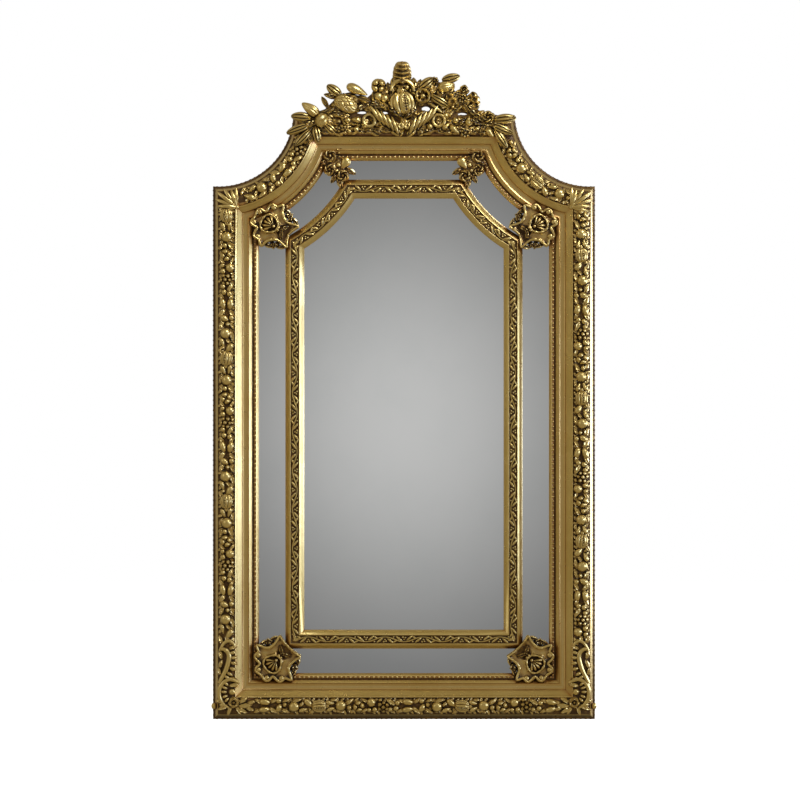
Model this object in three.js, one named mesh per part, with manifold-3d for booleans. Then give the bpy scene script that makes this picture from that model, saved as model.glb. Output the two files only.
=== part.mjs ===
// A gilt wall mirror with a border of narrow mirror plates. A broad carved frame with hollow shoulders
// holds the border plates, a slim inner moulding holds the centre plate, cast ornaments cover the joints
// of the border plates, and a crest of fruit and leaves stands on the top rail.
//
// It is drawn as it hangs, seen from the front: x to the right, y up from the foot of the frame and
// z out of the wall. The last group turns the drawing upright. Sizes are in millimetres.

import * as THREE from "three";
import { mergeVertices } from "three/addons/utils/BufferGeometryUtils.js";
import Module from "manifold-3d";

const wasm = await Module();
wasm.setup();

// Driving dimensions
const FRAME_EDGE = { half: 500, foot: 0, top: 1581, radius: 195 };
const SLIP_EDGE = { half: 310, foot: 185, top: 1411, radius: 373.5 };
const SHOULDER_CENTRE = { x: 485, y: 1589 };
const SHOULDER_STEPS = 6;
const HANG_HEIGHT = 1536;
const GAP = 0.3;
const LARGE_FRUIT = 16.5;

// Glass and board, as depths out of the wall
const GLASS_BACK = 4.9;
const GLASS_FRONT = 8.9;
const BOARD_BACK = 1.5;
const BOARD_FRONT = 4.6;
const REBATE_INSET = 108;
const REBATE_DEPTH = GLASS_FRONT + GAP;
const PLATE_INSET = 109;
const PLATE_JOINT = 0.4;
const SLIP_WIDTH = 48;
const SLIP_LIP = 10;
const SLIP_CLEARANCE = 1;

// Section of the broad frame: inset from the outer edge, then depth out of the wall
const OUTER_BEAD = { inset: 6, depth: 13, radius: 6 };
const SIGHT_BEAD = { inset: 109.7, depth: 19.5, radius: 3.4 };
const BED_CENTRE = 38;
const BED_HALF = 20;
const BED_DEPTH = 47;
const BED_DROP = 5;
const FRAME_SECTION = [
  [7, 0],
  [7, 7],
  ...beadSection(OUTER_BEAD, [200, 180, 160]),
  [7, 19.5],
  [10, 29],
  [16, 42],
  ...[-1, -0.4, 0.4, 1].map(bedPoint),
  [58.5, 50],
  [61.5, 50],
  [69.5, 39.5],
  [80, 31],
  [81, 28.5],
  [95, 27.5],
  [96, 30],
  [105, 21],
  [106.3, 18.5],
  ...beadSection(SIGHT_BEAD, [135, 90, 45]),
  [113.2, 20],
  [121, 12.5],
  [121, REBATE_DEPTH],
  [REBATE_INSET, REBATE_DEPTH],
  [REBATE_INSET, 0],
];

// Section of the slim inner moulding, from its outer edge inwards
const SLIP_SECTION = [
  [0, REBATE_DEPTH],
  [0, 13],
  [12.5, 25.5],
  [14.5, 25.5],
  [15.5, 24],
  [32.5, 24],
  [33.5, 25.5],
  [35.5, 25.5],
  [SLIP_WIDTH, 13],
  [SLIP_WIDTH, REBATE_DEPTH],
  [SLIP_WIDTH - SLIP_LIP, REBATE_DEPTH],
  [SLIP_WIDTH - SLIP_LIP, GLASS_BACK],
  [SLIP_LIP, GLASS_BACK],
  [SLIP_LIP, REBATE_DEPTH],
];

// One repeat of the fruit garland: form, place along, place towards the glass, half length, half width,
// height above the bed and turn in degrees
const GARLAND_REPEAT = 373;
const GARLAND_SINK = 4;
const GARLAND = [
  ["fruit", 0, -10, 15, 9, 11, 8],
  ["fruit", 0, 9.5, 15, 9, 11, -8],
  ["leaf", 33, 0, 20, 11, 8, -35],
  ["fruit", 78, -4, 14, 14, 13, 0],
  ["fruit", 112, 4, 15, 11, 11, -30],
  ["fruit", 143, -1, 19, 16, 14, 0],
  ["leaf", 174, -9, 14, 8, 10, 20],
  ["leaf", 172, 8, 14, 7, 10, -15],
  ["fruit", 199, 0, 13, 14, 13, 0],
  ["leaf", 222, 9, 15, 9, 8, 35],
  ["fruit", 246, -2, 16, 16, 10, 30],
  ["fruit", 278, 8, 12, 12, 12, 0],
  ["fruit", 309, -3, 15, 15, 10, 15],
  ["leaf", 338, 0, 19, 11, 8, -35],
];

// The runs that carry the garland: run of the outline, place of a pair of plums on it, first and last
// place along it that the garland may take
const GARLAND_RUNS = [
  { run: 0, phase: 509, from: 128, to: 872 },
  { run: 1, phase: 324, from: 222, to: 1316 },
  { run: 2, phase: 20, from: 62, to: 252 },
  { run: 4, phase: 160, from: 84, to: 276 },
  { run: 5, phase: 309, from: 66, to: 1160 },
];

// The running vine on the slim moulding
const VINE_STEP = 51.5;
const VINE_CLEAR = 26;
const VINE_LEAF = { long: 19, wide: 5.2, high: 4, turn: 24 };
const SLIP_BAND_CENTRE = 24;
const SLIP_BAND_DEPTH = 24;

// Carving at the shoulder and foot corners of the frame, drawn for the left side: form, x, y, half length,
// half width, height and turn
const SHOULDER_SPRAY = { x: -437, y: 1334, count: 6, from: 70, to: 195, reach: 31, wide: 11, high: 9 };
const FOOT_SCROLL = [
  ["fruit", -466, 72, 20, 20, 13, 0],
  ["leaf", -462, 118, 30, 11, 11, 68],
  ["leaf", -470, 152, 26, 10, 10, 112],
  ["leaf", -458, 182, 27, 11, 11, 62],
  ["fruit", -441, 47, 11, 11, 13, 0],
  ["leaf", -466, 34, 22, 10, 10, 45],
  ["leaf", -412, 38, 26, 10, 10, 170],
  ["leaf", -388, 33, 20, 9, 9, 15],
];

// Crest: form, x, y above the top edge, half length, half width, depth of its front and turn
const CREST_BACK = 24;
const CREST_GROUND = 57;
const CREST_GROUND_HALF = 5;
const CREST_OUTLINE = [
  [-268, -44], [-262, 0], [-225, 22], [-190, 34], [-172, 60], [-130, 72], [-70, 78], [-34, 66], [-14, 92],
  [6, 92], [30, 66], [68, 82], [128, 86], [166, 58], [188, 30], [216, 2], [262, -6], [262, -46],
  [190, -50], [0, -46], [-190, -50],
];
const CREST_HOLES = [
  [-109.7, 3.4, 13, 4],
  [-51, 2.4, 9, 4],
  [57, 13, 11, 7],
  [152, -1, 12, 4.5],
];
const CREST = [
  ["leaf", -3.5, 98, 37, 24, 74, 90],
  ["fruit", -3.5, 26, 33, 33, 90, 0],
  ["fruit", -3.5, 65, 10, 20, 78, 0],
  ["leaf", -22, 3, 24, 8, 82, -35],
  ["fruit", 49, 46, 20, 20, 78, 0],
  ["leaf", 60, 80, 23, 10, 72, 38],
  ["fruit", 80, 86, 11, 11, 74, 0],
  ["fruit", 112, 73, 19, 14, 80, 10],
  ["leaf", 124, 92, 24, 10, 70, 12],
  ["leaf", 96, 30, 31, 9, 76, -28],
  ["leaf", 128, 32, 19, 14, 74, -50],
  ["leaf", 156, 64, 13, 11, 70, 60],
  ["fruit", 153.5, 40, 13, 13, 75, 0],
  ["leaf", 184, 37, 22, 13, 72, 108],
  ["leaf", 178, 4, 22, 8, 73, -48],
  ["fruit", 221, -9, 16, 14, 76, 0],
  ["leaf", 262, -16, 29, 12, 74, 6],
  ["leaf", 258, -42, 31, 9, 73, -8],
  ["leaf", 252, -62, 29, 10, 70, -52],
  ["fruit", 226, -46, 15, 11, 72, -50],
  ["fruit", 134, -42, 13, 9, 74, -40],
  ["fruit", 162, -46, 13, 13, 74, 0],
  ["fruit", -14, -28, 11, 10, 80, 0],
  ["fruit", 8, -28, 11, 10, 80, 0],
  ["fruit", -158, -42, 17, 11, 74, 0],
  ["leaf", -192, -40, 19, 11, 73, -40],
  ["fruit", -214, -18, 17, 18, 79, 0],
  ["fruit", -242, 12, 25, 14, 78, -35],
  ["fruit", -151, 25, 32, 22, 84, -30],
  ["leaf", -182, 61, 23, 11, 72, 142],
  ["leaf", -194, 8, 18, 8, 72, 25],
  ["fruit", -133, 64, 15, 15, 79, 0],
  ["fruit", -58, 43, 14, 14, 78, 0],
  ["leaf", -67, 72, 21, 17, 74, 120],
  ["leaf", -272, -10, 24, 10, 72, 172],
  ["leaf", -276, -43, 31, 10, 72, 12],
  ["leaf", -262, -60, 27, 10, 70, 38],
  ["leaf", -227, -51, 21, 11, 72, 100],
];
const CREST_SPRAY = { count: 5, x: [28, 82], y: [-30, 8], long: 18, wide: 6.5 };
const CREST_SPRAY_FRONT = [82, 74];
const CREST_SPRAY_TURN = [80, 42];
const CREST_RING = { x: 92, y: -18, outer: 17, inner: 9.5, front: 74 };

// Cartouches over the joints at the foot and shoulder corners
const CARTOUCHE = { base: 41, ground: 27, front: 38, sink: 2, apex: 8, knob: 9 };
const SHELL = { reach: 22, flutes: 5, spread: 130, wide: 7 };
const LOBE = { size: 16, reach: 42, step: 56, sink: 4 };
const CRESCENT = { reach: 62, radius: 34, thick: 15, half: 64, front: 32 };
const CARTOUCHES = [
  { name: "cartouche_foot", x: -341, y: 148, axis: 45, splay: 50 },
  { name: "cartouche_shoulder", x: -347, y: 1288, axis: -29, splay: 61 },
];

// The seat of the ornaments on the broad frame: they keep inside this inset, at any height
const SEAT_INSET = 96;
const SEAT_HEIGHT = 80;
const SEAT_SECTION = [
  [6, 0],
  [6, SEAT_HEIGHT],
  [SEAT_INSET, SEAT_HEIGHT],
  [SEAT_INSET, 30],
  [104, 23.2],
  [113.5, 23.2],
  [121, 12.5],
  [121, REBATE_DEPTH],
  [REBATE_INSET, REBATE_DEPTH],
  [REBATE_INSET, 0],
];

// Flower sprays over the joints at the top corners, drawn for the left side
const SPRAY_FLOOR = 12;
const FLOWER_SPRAY = [
  ["fruit", -193, 1473, 19, 19, 34, 0],
  ["fruit", -194, 1436, 15, 15, 31, 0],
  ["fruit", -155, 1453, 17, 13, 33, 60],
  ["fruit", -159, 1421, 17, 17, 33, 0],
  ["leaf", -174, 1447, 30, 20, 24, -50],
  ["leaf", -172, 1484, 18, 9, 29, 25],
  ["leaf", -167, 1402, 17, 9, 28, -65],
  ["leaf", -140, 1432, 17, 8, 28, -30],
];

// Finishes
const GILT = new THREE.MeshStandardMaterial({ color: 0xb08d48, roughness: 0.4, metalness: 0.85 });
const MIRROR = new THREE.MeshStandardMaterial({ color: 0xc9cccb, roughness: 0.04, metalness: 1 });
const BOARD = new THREE.MeshStandardMaterial({ color: 0x8a6a48, roughness: 0.85, metalness: 0 });

// Section points of a half-round bead, at the given angles
function beadSection(bead, angles) {
  return angles.map((degrees) => {
    const angle = THREE.MathUtils.degToRad(degrees);
    return [bead.inset + bead.radius * Math.cos(angle), bead.depth + bead.radius * Math.sin(angle)];
  });
}

// Section point of the rounded bed under the garland, from its outer side at -1 to its inner side at 1
function bedPoint(across) {
  return [BED_CENTRE + BED_HALF * across, BED_DEPTH - BED_DROP * across * across];
}

// The six runs of the outline, anticlockwise from the foot: foot, right side, right shoulder, top,
// left shoulder and left side, each as points from its start to its end
function outline(edge, inset) {
  const half = edge.half - inset;
  const foot = edge.foot + inset;
  const top = edge.top - inset;
  const radius = edge.radius + inset;
  const sideRise = Math.sqrt(radius ** 2 - (SHOULDER_CENTRE.x - half) ** 2);
  const topReach = Math.sqrt(radius ** 2 - (SHOULDER_CENTRE.y - top) ** 2);
  const shoulder = SHOULDER_CENTRE.y - sideRise;
  const corner = SHOULDER_CENTRE.x - topReach;
  const start = Math.atan2(shoulder - SHOULDER_CENTRE.y, half - SHOULDER_CENTRE.x);
  const end = Math.atan2(top - SHOULDER_CENTRE.y, corner - SHOULDER_CENTRE.x);
  const hollow = [];
  for (let step = 0; step <= SHOULDER_STEPS; step += 1) {
    const angle = THREE.MathUtils.lerp(start, end, step / SHOULDER_STEPS);
    const x = SHOULDER_CENTRE.x + radius * Math.cos(angle);
    const y = SHOULDER_CENTRE.y + radius * Math.sin(angle);
    hollow.push(new THREE.Vector2(x, y));
  }
  const mirrored = hollow.map((point) => new THREE.Vector2(-point.x, point.y)).reverse();
  return [
    [new THREE.Vector2(-half, foot), new THREE.Vector2(half, foot)],
    [new THREE.Vector2(half, foot), new THREE.Vector2(half, shoulder)],
    hollow,
    [new THREE.Vector2(corner, top), new THREE.Vector2(-corner, top)],
    mirrored,
    [new THREE.Vector2(-half, shoulder), new THREE.Vector2(-half, foot)],
  ];
}

// A closed section carried round the outline, with true mitres at the corners
function moulding(section, edge) {
  const positions = [];
  const indices = [];
  let stations = 0;
  for (const [inset, depth] of section) {
    const ring = outline(edge, inset).flatMap((run) => run.slice(0, -1));
    stations = ring.length;
    ring.forEach((point) => positions.push(point.x, point.y, depth));
  }
  for (let row = 0; row < section.length; row += 1) {
    const nextRow = (row + 1) % section.length;
    for (let column = 0; column < stations; column += 1) {
      const nextColumn = (column + 1) % stations;
      const a = row * stations + column;
      const b = row * stations + nextColumn;
      const c = nextRow * stations + nextColumn;
      const d = nextRow * stations + column;
      indices.push(a, b, c, a, c, d);
    }
  }
  const geometry = new THREE.BufferGeometry();
  geometry.setAttribute("position", new THREE.Float32BufferAttribute(positions, 3));
  geometry.setIndex(indices);
  return geometry;
}

// The same section, grown by a margin square to its own faces
function grown(section, margin) {
  const points = section.map(([inset, depth]) => new THREE.Vector2(inset, depth));
  return points.map((point, place) => {
    const before = points[(place + points.length - 1) % points.length];
    const after = points[(place + 1) % points.length];
    const arriving = point.clone().sub(before).normalize();
    const leaving = after.clone().sub(point).normalize();
    const one = new THREE.Vector2(-arriving.y, arriving.x);
    const two = new THREE.Vector2(-leaving.y, leaving.x);
    const push = margin / (1 + one.dot(two));
    return [point.x + push * (one.x + two.x), point.y + push * (one.y + two.y)];
  });
}

// Solids for joining and cutting
function solid(geometry) {
  const bare = new THREE.BufferGeometry();
  bare.setAttribute("position", geometry.getAttribute("position"));
  bare.setIndex(geometry.getIndex());
  const merged = mergeVertices(bare, 1e-4);
  return new wasm.Manifold(new wasm.Mesh({
    numProp: 3,
    vertProperties: new Float32Array(merged.getAttribute("position").array),
    triVerts: new Uint32Array(merged.getIndex().array),
  }));
}

function joined(solids) {
  return solids.reduce((whole, piece) => whole.add(piece));
}

function meshOf(name, body, material) {
  const raw = body.getMesh();
  const geometry = new THREE.BufferGeometry();
  geometry.setAttribute("position", new THREE.Float32BufferAttribute(raw.vertProperties, 3));
  geometry.setIndex(Array.from(raw.triVerts));
  geometry.computeVertexNormals();
  const mesh = new THREE.Mesh(geometry, material);
  mesh.name = name;
  return mesh;
}

// Carved forms: a rounded fruit or a ridged leaf, lying in the plane of the wall
function carved(form, x, y, depth, long, wide, high, turn) {
  const fruit = form === "fruit";
  const large = Math.min(long, wide) > LARGE_FRUIT;
  const round = large ? new THREE.SphereGeometry(1, 8, 4) : new THREE.SphereGeometry(1, 5, 3);
  const geometry = fruit ? round : new THREE.OctahedronGeometry(1);
  if (fruit) {
    geometry.rotateX(Math.PI / 2);
  }
  geometry.scale(long, wide, high);
  geometry.rotateZ(THREE.MathUtils.degToRad(turn));
  geometry.translate(x, y, depth);
  return solid(geometry);
}

// A flat piece cut from a shape, between two depths
function sheet(shape, back, front) {
  const settings = { depth: front - back, bevelEnabled: false, curveSegments: 5 };
  const geometry = new THREE.ExtrudeGeometry(shape, settings);
  geometry.translate(0, 0, back);
  return solid(geometry);
}

// A place on one run of an outline: the point and the heading of the run there
function placeOn(points, distance) {
  let left = distance;
  for (let step = 1; step < points.length; step += 1) {
    const length = points[step].distanceTo(points[step - 1]);
    if (left <= length || step === points.length - 1) {
      const point = points[step - 1].clone().lerp(points[step], left / length);
      const heading = points[step].clone().sub(points[step - 1]).angle();
      return { point, heading };
    }
    left -= length;
  }
  return null;
}

function lengthOf(points) {
  return points.slice(1).reduce((sum, point, step) => sum + point.distanceTo(points[step]), 0);
}

// The fruit garland on the bed of the frame
function garland() {
  const path = outline(FRAME_EDGE, BED_CENTRE);
  const pieces = [];
  for (const { run, phase, from, to } of GARLAND_RUNS) {
    const points = path[run];
    const first = Math.floor((from - phase) / GARLAND_REPEAT);
    const last = Math.ceil((to - phase) / GARLAND_REPEAT);
    for (let repeat = first; repeat <= last; repeat += 1) {
      for (const [form, along, across, long, wide, high, turn] of GARLAND) {
        const distance = phase + repeat * GARLAND_REPEAT + along - BED_CENTRE;
        if (distance < from - BED_CENTRE || distance > to - BED_CENTRE) {
          continue;
        }
        const { point, heading } = placeOn(points, distance);
        const x = point.x - across * Math.sin(heading);
        const y = point.y + across * Math.cos(heading);
        const bed = bedPoint(across / BED_HALF)[1] - GARLAND_SINK;
        const angle = THREE.MathUtils.radToDeg(heading) + turn;
        pieces.push(carved(form, x, y, bed, long, wide, high + GARLAND_SINK, angle));
      }
    }
  }
  return pieces;
}

// The carved leaves and scrolls at the corners of the frame, on one side
function cornerCarving() {
  const bed = BED_DEPTH - BED_DROP;
  const pieces = FOOT_SCROLL.map(([form, x, y, long, wide, high, turn]) => (
    carved(form, x, y, bed, long, wide, high + BED_DROP, turn)
  ));
  const spray = SHOULDER_SPRAY;
  for (let blade = 0; blade < spray.count; blade += 1) {
    const degrees = THREE.MathUtils.lerp(spray.from, spray.to, blade / (spray.count - 1));
    const [x, y] = around(spray.reach, degrees);
    const high = spray.high + BED_DROP;
    pieces.push(carved("leaf", spray.x + x, spray.y + y, bed, spray.reach, spray.wide, high, degrees));
  }
  return pieces;
}

// The leaves of the running vine on the slim moulding
function vine() {
  const path = outline(SLIP_EDGE, SLIP_BAND_CENTRE);
  const pieces = [];
  for (const points of path) {
    const length = lengthOf(points) - 2 * VINE_CLEAR;
    const count = Math.max(1, Math.round(length / VINE_STEP));
    for (let leaf = 0; leaf < count; leaf += 1) {
      const { point, heading } = placeOn(points, VINE_CLEAR + (length * (leaf + 0.5)) / count);
      const lean = leaf % 2 === 0 ? VINE_LEAF.turn : -VINE_LEAF.turn;
      const angle = THREE.MathUtils.radToDeg(heading) + lean;
      const { long, wide, high } = VINE_LEAF;
      pieces.push(carved("leaf", point.x, point.y, SLIP_BAND_DEPTH, long, wide, high, angle));
    }
  }
  return pieces;
}

// The pierced crest, seated on the top rail
function crest(seat) {
  const shape = new THREE.Shape(CREST_OUTLINE.map(([x, y]) => new THREE.Vector2(x, FRAME_EDGE.top + y)));
  for (const [x, y, long, wide] of CREST_HOLES) {
    const hole = new THREE.Path();
    hole.absellipse(x, FRAME_EDGE.top + y, long, wide, 0, 2 * Math.PI, false);
    shape.holes.push(hole);
  }
  const pieces = [sheet(shape, CREST_BACK, CREST_GROUND)];
  for (const [form, x, y, long, wide, front, turn] of CREST) {
    const base = CREST_GROUND - CREST_GROUND_HALF;
    pieces.push(carved(form, x, FRAME_EDGE.top + y, base, long, wide, front - base, turn));
  }
  for (const side of [-1, 1]) {
    pieces.push(...crestSpray(side));
    pieces.push(crestRing(side));
  }
  return joined(pieces).subtract(seat);
}

// The fluted leaf that opens from the middle of the crest towards one side
function crestSpray(side) {
  const { count, x, y, long, wide } = CREST_SPRAY;
  const pieces = [];
  for (let flute = 0; flute < count; flute += 1) {
    const share = flute / (count - 1);
    const lean = THREE.MathUtils.lerp(...CREST_SPRAY_TURN, share);
    const base = CREST_GROUND - CREST_GROUND_HALF;
    const high = THREE.MathUtils.lerp(...CREST_SPRAY_FRONT, share) - base;
    const across = side * THREE.MathUtils.lerp(...x, share);
    const up = FRAME_EDGE.top + THREE.MathUtils.lerp(...y, share);
    pieces.push(carved("leaf", across, up, base, long, wide, high, side > 0 ? lean : 180 - lean));
  }
  return pieces;
}

// The ring that ends the fluted leaf
function crestRing(side) {
  const { x, y, outer, inner, front } = CREST_RING;
  const shape = new THREE.Shape();
  shape.absarc(side * x, FRAME_EDGE.top + y, outer, 0, 2 * Math.PI, false);
  const eye = new THREE.Path();
  eye.absarc(side * x, FRAME_EDGE.top + y, inner, 0, 2 * Math.PI, false);
  shape.holes.push(eye);
  return sheet(shape, CREST_GROUND - CREST_GROUND_HALF, front);
}

// A shell cartouche, drawn about its own middle with its axis towards the inner moulding along +x
function cartouche(splay) {
  const { base, ground, front, sink, apex, knob } = CARTOUCHE;
  const disc = new THREE.Shape();
  disc.absarc(0, 0, base, 0, 2 * Math.PI, false);
  const pieces = [sheet(disc, REBATE_DEPTH, ground)];
  const height = front - ground + sink;
  for (let flute = 0; flute < SHELL.flutes; flute += 1) {
    const share = flute / (SHELL.flutes - 1) - 0.5;
    const degrees = 180 + share * SHELL.spread;
    const [x, y] = around(0.8 * SHELL.reach, degrees);
    pieces.push(carved("leaf", x + apex, y, ground - sink, SHELL.reach, SHELL.wide, height, degrees));
  }
  pieces.push(carved("fruit", apex, 0, ground - sink, knob, knob, height, 0));
  for (let lobe = -1; lobe <= 1; lobe += 1) {
    const degrees = 180 + lobe * LOBE.step;
    const [x, y] = around(LOBE.reach, degrees);
    pieces.push(carved("fruit", x, y, ground - LOBE.sink, LOBE.size, LOBE.size, height, degrees));
  }
  for (const side of [-1, 1]) {
    pieces.push(crescent().rotate([0, 0, side * splay]));
  }
  return joined(pieces);
}

// A point at a reach and a bearing from the middle
function around(reach, degrees) {
  const angle = THREE.MathUtils.degToRad(degrees);
  return [reach * Math.cos(angle), reach * Math.sin(angle)];
}

// A crescent scroll whose hollow side looks away from the middle, along +x
function crescent() {
  const { reach, radius, thick } = CRESCENT;
  const half = THREE.MathUtils.degToRad(CRESCENT.half);
  const rise = radius * Math.sin(half);
  const hollow = radius * Math.cos(half) + thick;
  const shape = new THREE.Shape();
  shape.absarc(reach, 0, radius, Math.PI - half, Math.PI + half, false);
  const bend = Math.atan2(rise, hollow);
  shape.absarc(reach + thick, 0, Math.hypot(rise, hollow), Math.PI + bend, Math.PI - bend, true);
  return sheet(shape, REBATE_DEPTH, CRESCENT.front);
}

// A spray of flowers over a top corner, on the left side
function flowerSpray() {
  return joined(FLOWER_SPRAY.map(([form, x, y, long, wide, front, turn]) => (
    carved(form, x, y, SPRAY_FLOOR, long, wide, front - SPRAY_FLOOR, turn)
  )));
}

// The part of a solid in front of the glass, clear of the mouldings beside it
function seated(body, cutters) {
  const above = body.trimByPlane([0, 0, 1], GLASS_FRONT + GAP);
  return cutters.reduce((rest, cutter) => rest.subtract(cutter), above);
}

// One border plate between the broad frame and the slim moulding
function borderPlate(run) {
  const far = outline(FRAME_EDGE, PLATE_INSET)[run];
  const near = outline(SLIP_EDGE, SLIP_LIP - SLIP_CLEARANCE)[run];
  const shape = new THREE.Shape([...shortened(far), ...shortened(near).reverse()]);
  return sheet(shape, GLASS_BACK, GLASS_FRONT);
}

// A run of points drawn in a little at both ends
function shortened(points) {
  const first = points[0].clone().sub(points[1]).setLength(-PLATE_JOINT).add(points[0]);
  const end = points.length - 1;
  const last = points[end].clone().sub(points[end - 1]).setLength(-PLATE_JOINT).add(points[end]);
  return [first, ...points.slice(1, -1), last];
}

// A plate that fills an outline
function fullPlate(edge, inset, back, front) {
  const points = outline(edge, inset).flatMap((run) => run.slice(0, -1));
  return sheet(new THREE.Shape(points), back, front);
}

function acrossMiddle(body) {
  return body.mirror([1, 0, 0]);
}

// The whole mirror
function build() {
  const frameCutter = solid(moulding(grown(FRAME_SECTION, GAP), FRAME_EDGE));
  const seatCutter = solid(moulding(grown(SEAT_SECTION, GAP), FRAME_EDGE));
  const slipCutter = solid(moulding(grown(SLIP_SECTION, GAP), SLIP_EDGE));
  const carving = cornerCarving();
  const frame = joined([
    solid(moulding(FRAME_SECTION, FRAME_EDGE)),
    ...garland(),
    ...carving,
    ...carving.map(acrossMiddle),
  ]);
  const slip = joined([solid(moulding(SLIP_SECTION, SLIP_EDGE)), ...vine()]);

  const drawing = new THREE.Group();
  drawing.name = "drawing";
  drawing.add(meshOf("outer_frame", frame, GILT));
  drawing.add(meshOf("inner_frame", slip, GILT));
  drawing.add(meshOf("crest", crest(frameCutter), GILT));
  for (const { name, x, y, axis, splay } of CARTOUCHES) {
    const left = cartouche(splay).rotate([0, 0, axis]).translate([x, y, 0]);
    const fitted = seated(left, [seatCutter, slipCutter]);
    drawing.add(meshOf(`${name}_left`, fitted, GILT));
    drawing.add(meshOf(`${name}_right`, acrossMiddle(fitted), GILT));
  }
  const spray = seated(flowerSpray(), [seatCutter, slipCutter]);
  drawing.add(meshOf("flower_spray_left", spray, GILT));
  drawing.add(meshOf("flower_spray_right", acrossMiddle(spray), GILT));

  const centre = fullPlate(SLIP_EDGE, SLIP_WIDTH - SLIP_LIP + SLIP_CLEARANCE, GLASS_BACK, GLASS_FRONT);
  drawing.add(meshOf("glass_centre", centre, MIRROR));
  const names = ["foot", "right", "shoulder_right", "top", "shoulder_left", "left"];
  names.forEach((name, run) => drawing.add(meshOf(`glass_${name}`, borderPlate(run), MIRROR)));
  drawing.add(meshOf("back_board", fullPlate(FRAME_EDGE, PLATE_INSET, BOARD_BACK, BOARD_FRONT), BOARD));

  drawing.rotation.x = Math.PI / 2;
  drawing.position.z = -HANG_HEIGHT;
  const mirror = new THREE.Group();
  mirror.name = "wall_mirror";
  mirror.add(drawing);
  return mirror;
}

export default build();
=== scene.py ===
"""A gilt wall mirror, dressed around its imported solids.

The mirror is drawn as it hangs, in millimetres: x to the right, y up from the foot of the frame and z out of
the wall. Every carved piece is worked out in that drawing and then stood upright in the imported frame.
"""

import logging
import math
from collections.abc import Iterable, Sequence
from dataclasses import dataclass, field
from enum import Enum

import bpy
import numpy as np
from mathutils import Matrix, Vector
from mathutils.geometry import tessellate_polygon


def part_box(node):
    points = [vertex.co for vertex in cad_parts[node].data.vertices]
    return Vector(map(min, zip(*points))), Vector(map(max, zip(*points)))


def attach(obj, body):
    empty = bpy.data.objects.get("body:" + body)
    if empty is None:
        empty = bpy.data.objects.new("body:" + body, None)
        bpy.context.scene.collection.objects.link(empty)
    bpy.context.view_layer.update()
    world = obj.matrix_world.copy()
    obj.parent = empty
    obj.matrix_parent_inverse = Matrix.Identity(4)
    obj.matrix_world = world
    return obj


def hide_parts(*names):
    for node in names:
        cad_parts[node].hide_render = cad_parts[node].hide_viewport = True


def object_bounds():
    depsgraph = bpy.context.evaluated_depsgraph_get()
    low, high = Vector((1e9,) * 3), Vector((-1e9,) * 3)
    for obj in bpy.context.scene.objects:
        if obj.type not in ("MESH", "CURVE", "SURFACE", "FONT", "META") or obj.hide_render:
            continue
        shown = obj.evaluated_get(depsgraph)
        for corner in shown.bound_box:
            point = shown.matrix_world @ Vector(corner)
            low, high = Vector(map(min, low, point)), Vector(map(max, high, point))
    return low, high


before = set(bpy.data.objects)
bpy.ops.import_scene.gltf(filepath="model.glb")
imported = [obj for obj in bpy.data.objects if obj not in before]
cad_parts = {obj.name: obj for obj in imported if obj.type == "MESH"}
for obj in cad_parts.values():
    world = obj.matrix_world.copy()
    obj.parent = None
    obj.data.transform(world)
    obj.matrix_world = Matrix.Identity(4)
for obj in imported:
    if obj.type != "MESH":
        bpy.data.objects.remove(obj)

LOG = logging.getLogger("wall_mirror")
CAD_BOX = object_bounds()
MM = 0.001
HANG_HEIGHT = -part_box("outer_frame")[0][2] / MM
SHARP_ANGLE = math.radians(48)
BODY = "root"
ORNAMENT_SLOT = "gilt_ornament"
HOLLOW_STEPS = 48
RIBBON_STEPS = 8
RIBBON_TAPER = 0.6
RIBBON_FLAT = 1.1
RIBBON_COLS = 10
TAPER_POWER = 0.8
GESSO_RELIEF = 0.0006


class Coat(Enum):
    """The finishes of one carved piece, in the order of its material slots."""

    PLAIN = 0
    CARVED = 1
    BACK = 2
    # Painted shade: the dark coat on the carving's ground, in grooves and in gaps where shade falls, partly a
    # real dark glazing.
    SHADED_GROUND = 3


class Motif(Enum):
    """The carved forms that the garland, crest and sprays are made of."""

    PLUM = "plum"
    APPLE = "apple"
    PEAR = "pear"
    FIG = "fig"
    POMEGRANATE = "pomegranate"
    PINEAPPLE = "pineapple"
    ACORN = "acorn"
    BERRY = "berry"
    CITRUS = "citrus"
    DAISY = "daisy"
    ROSE = "rose"
    LEAF = "leaf"
    FERN = "fern"
    OAK = "oak"
    STRAP = "strap"
    REED = "reed"
    PALM = "palm"
    QUARTERED = "quartered"


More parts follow.
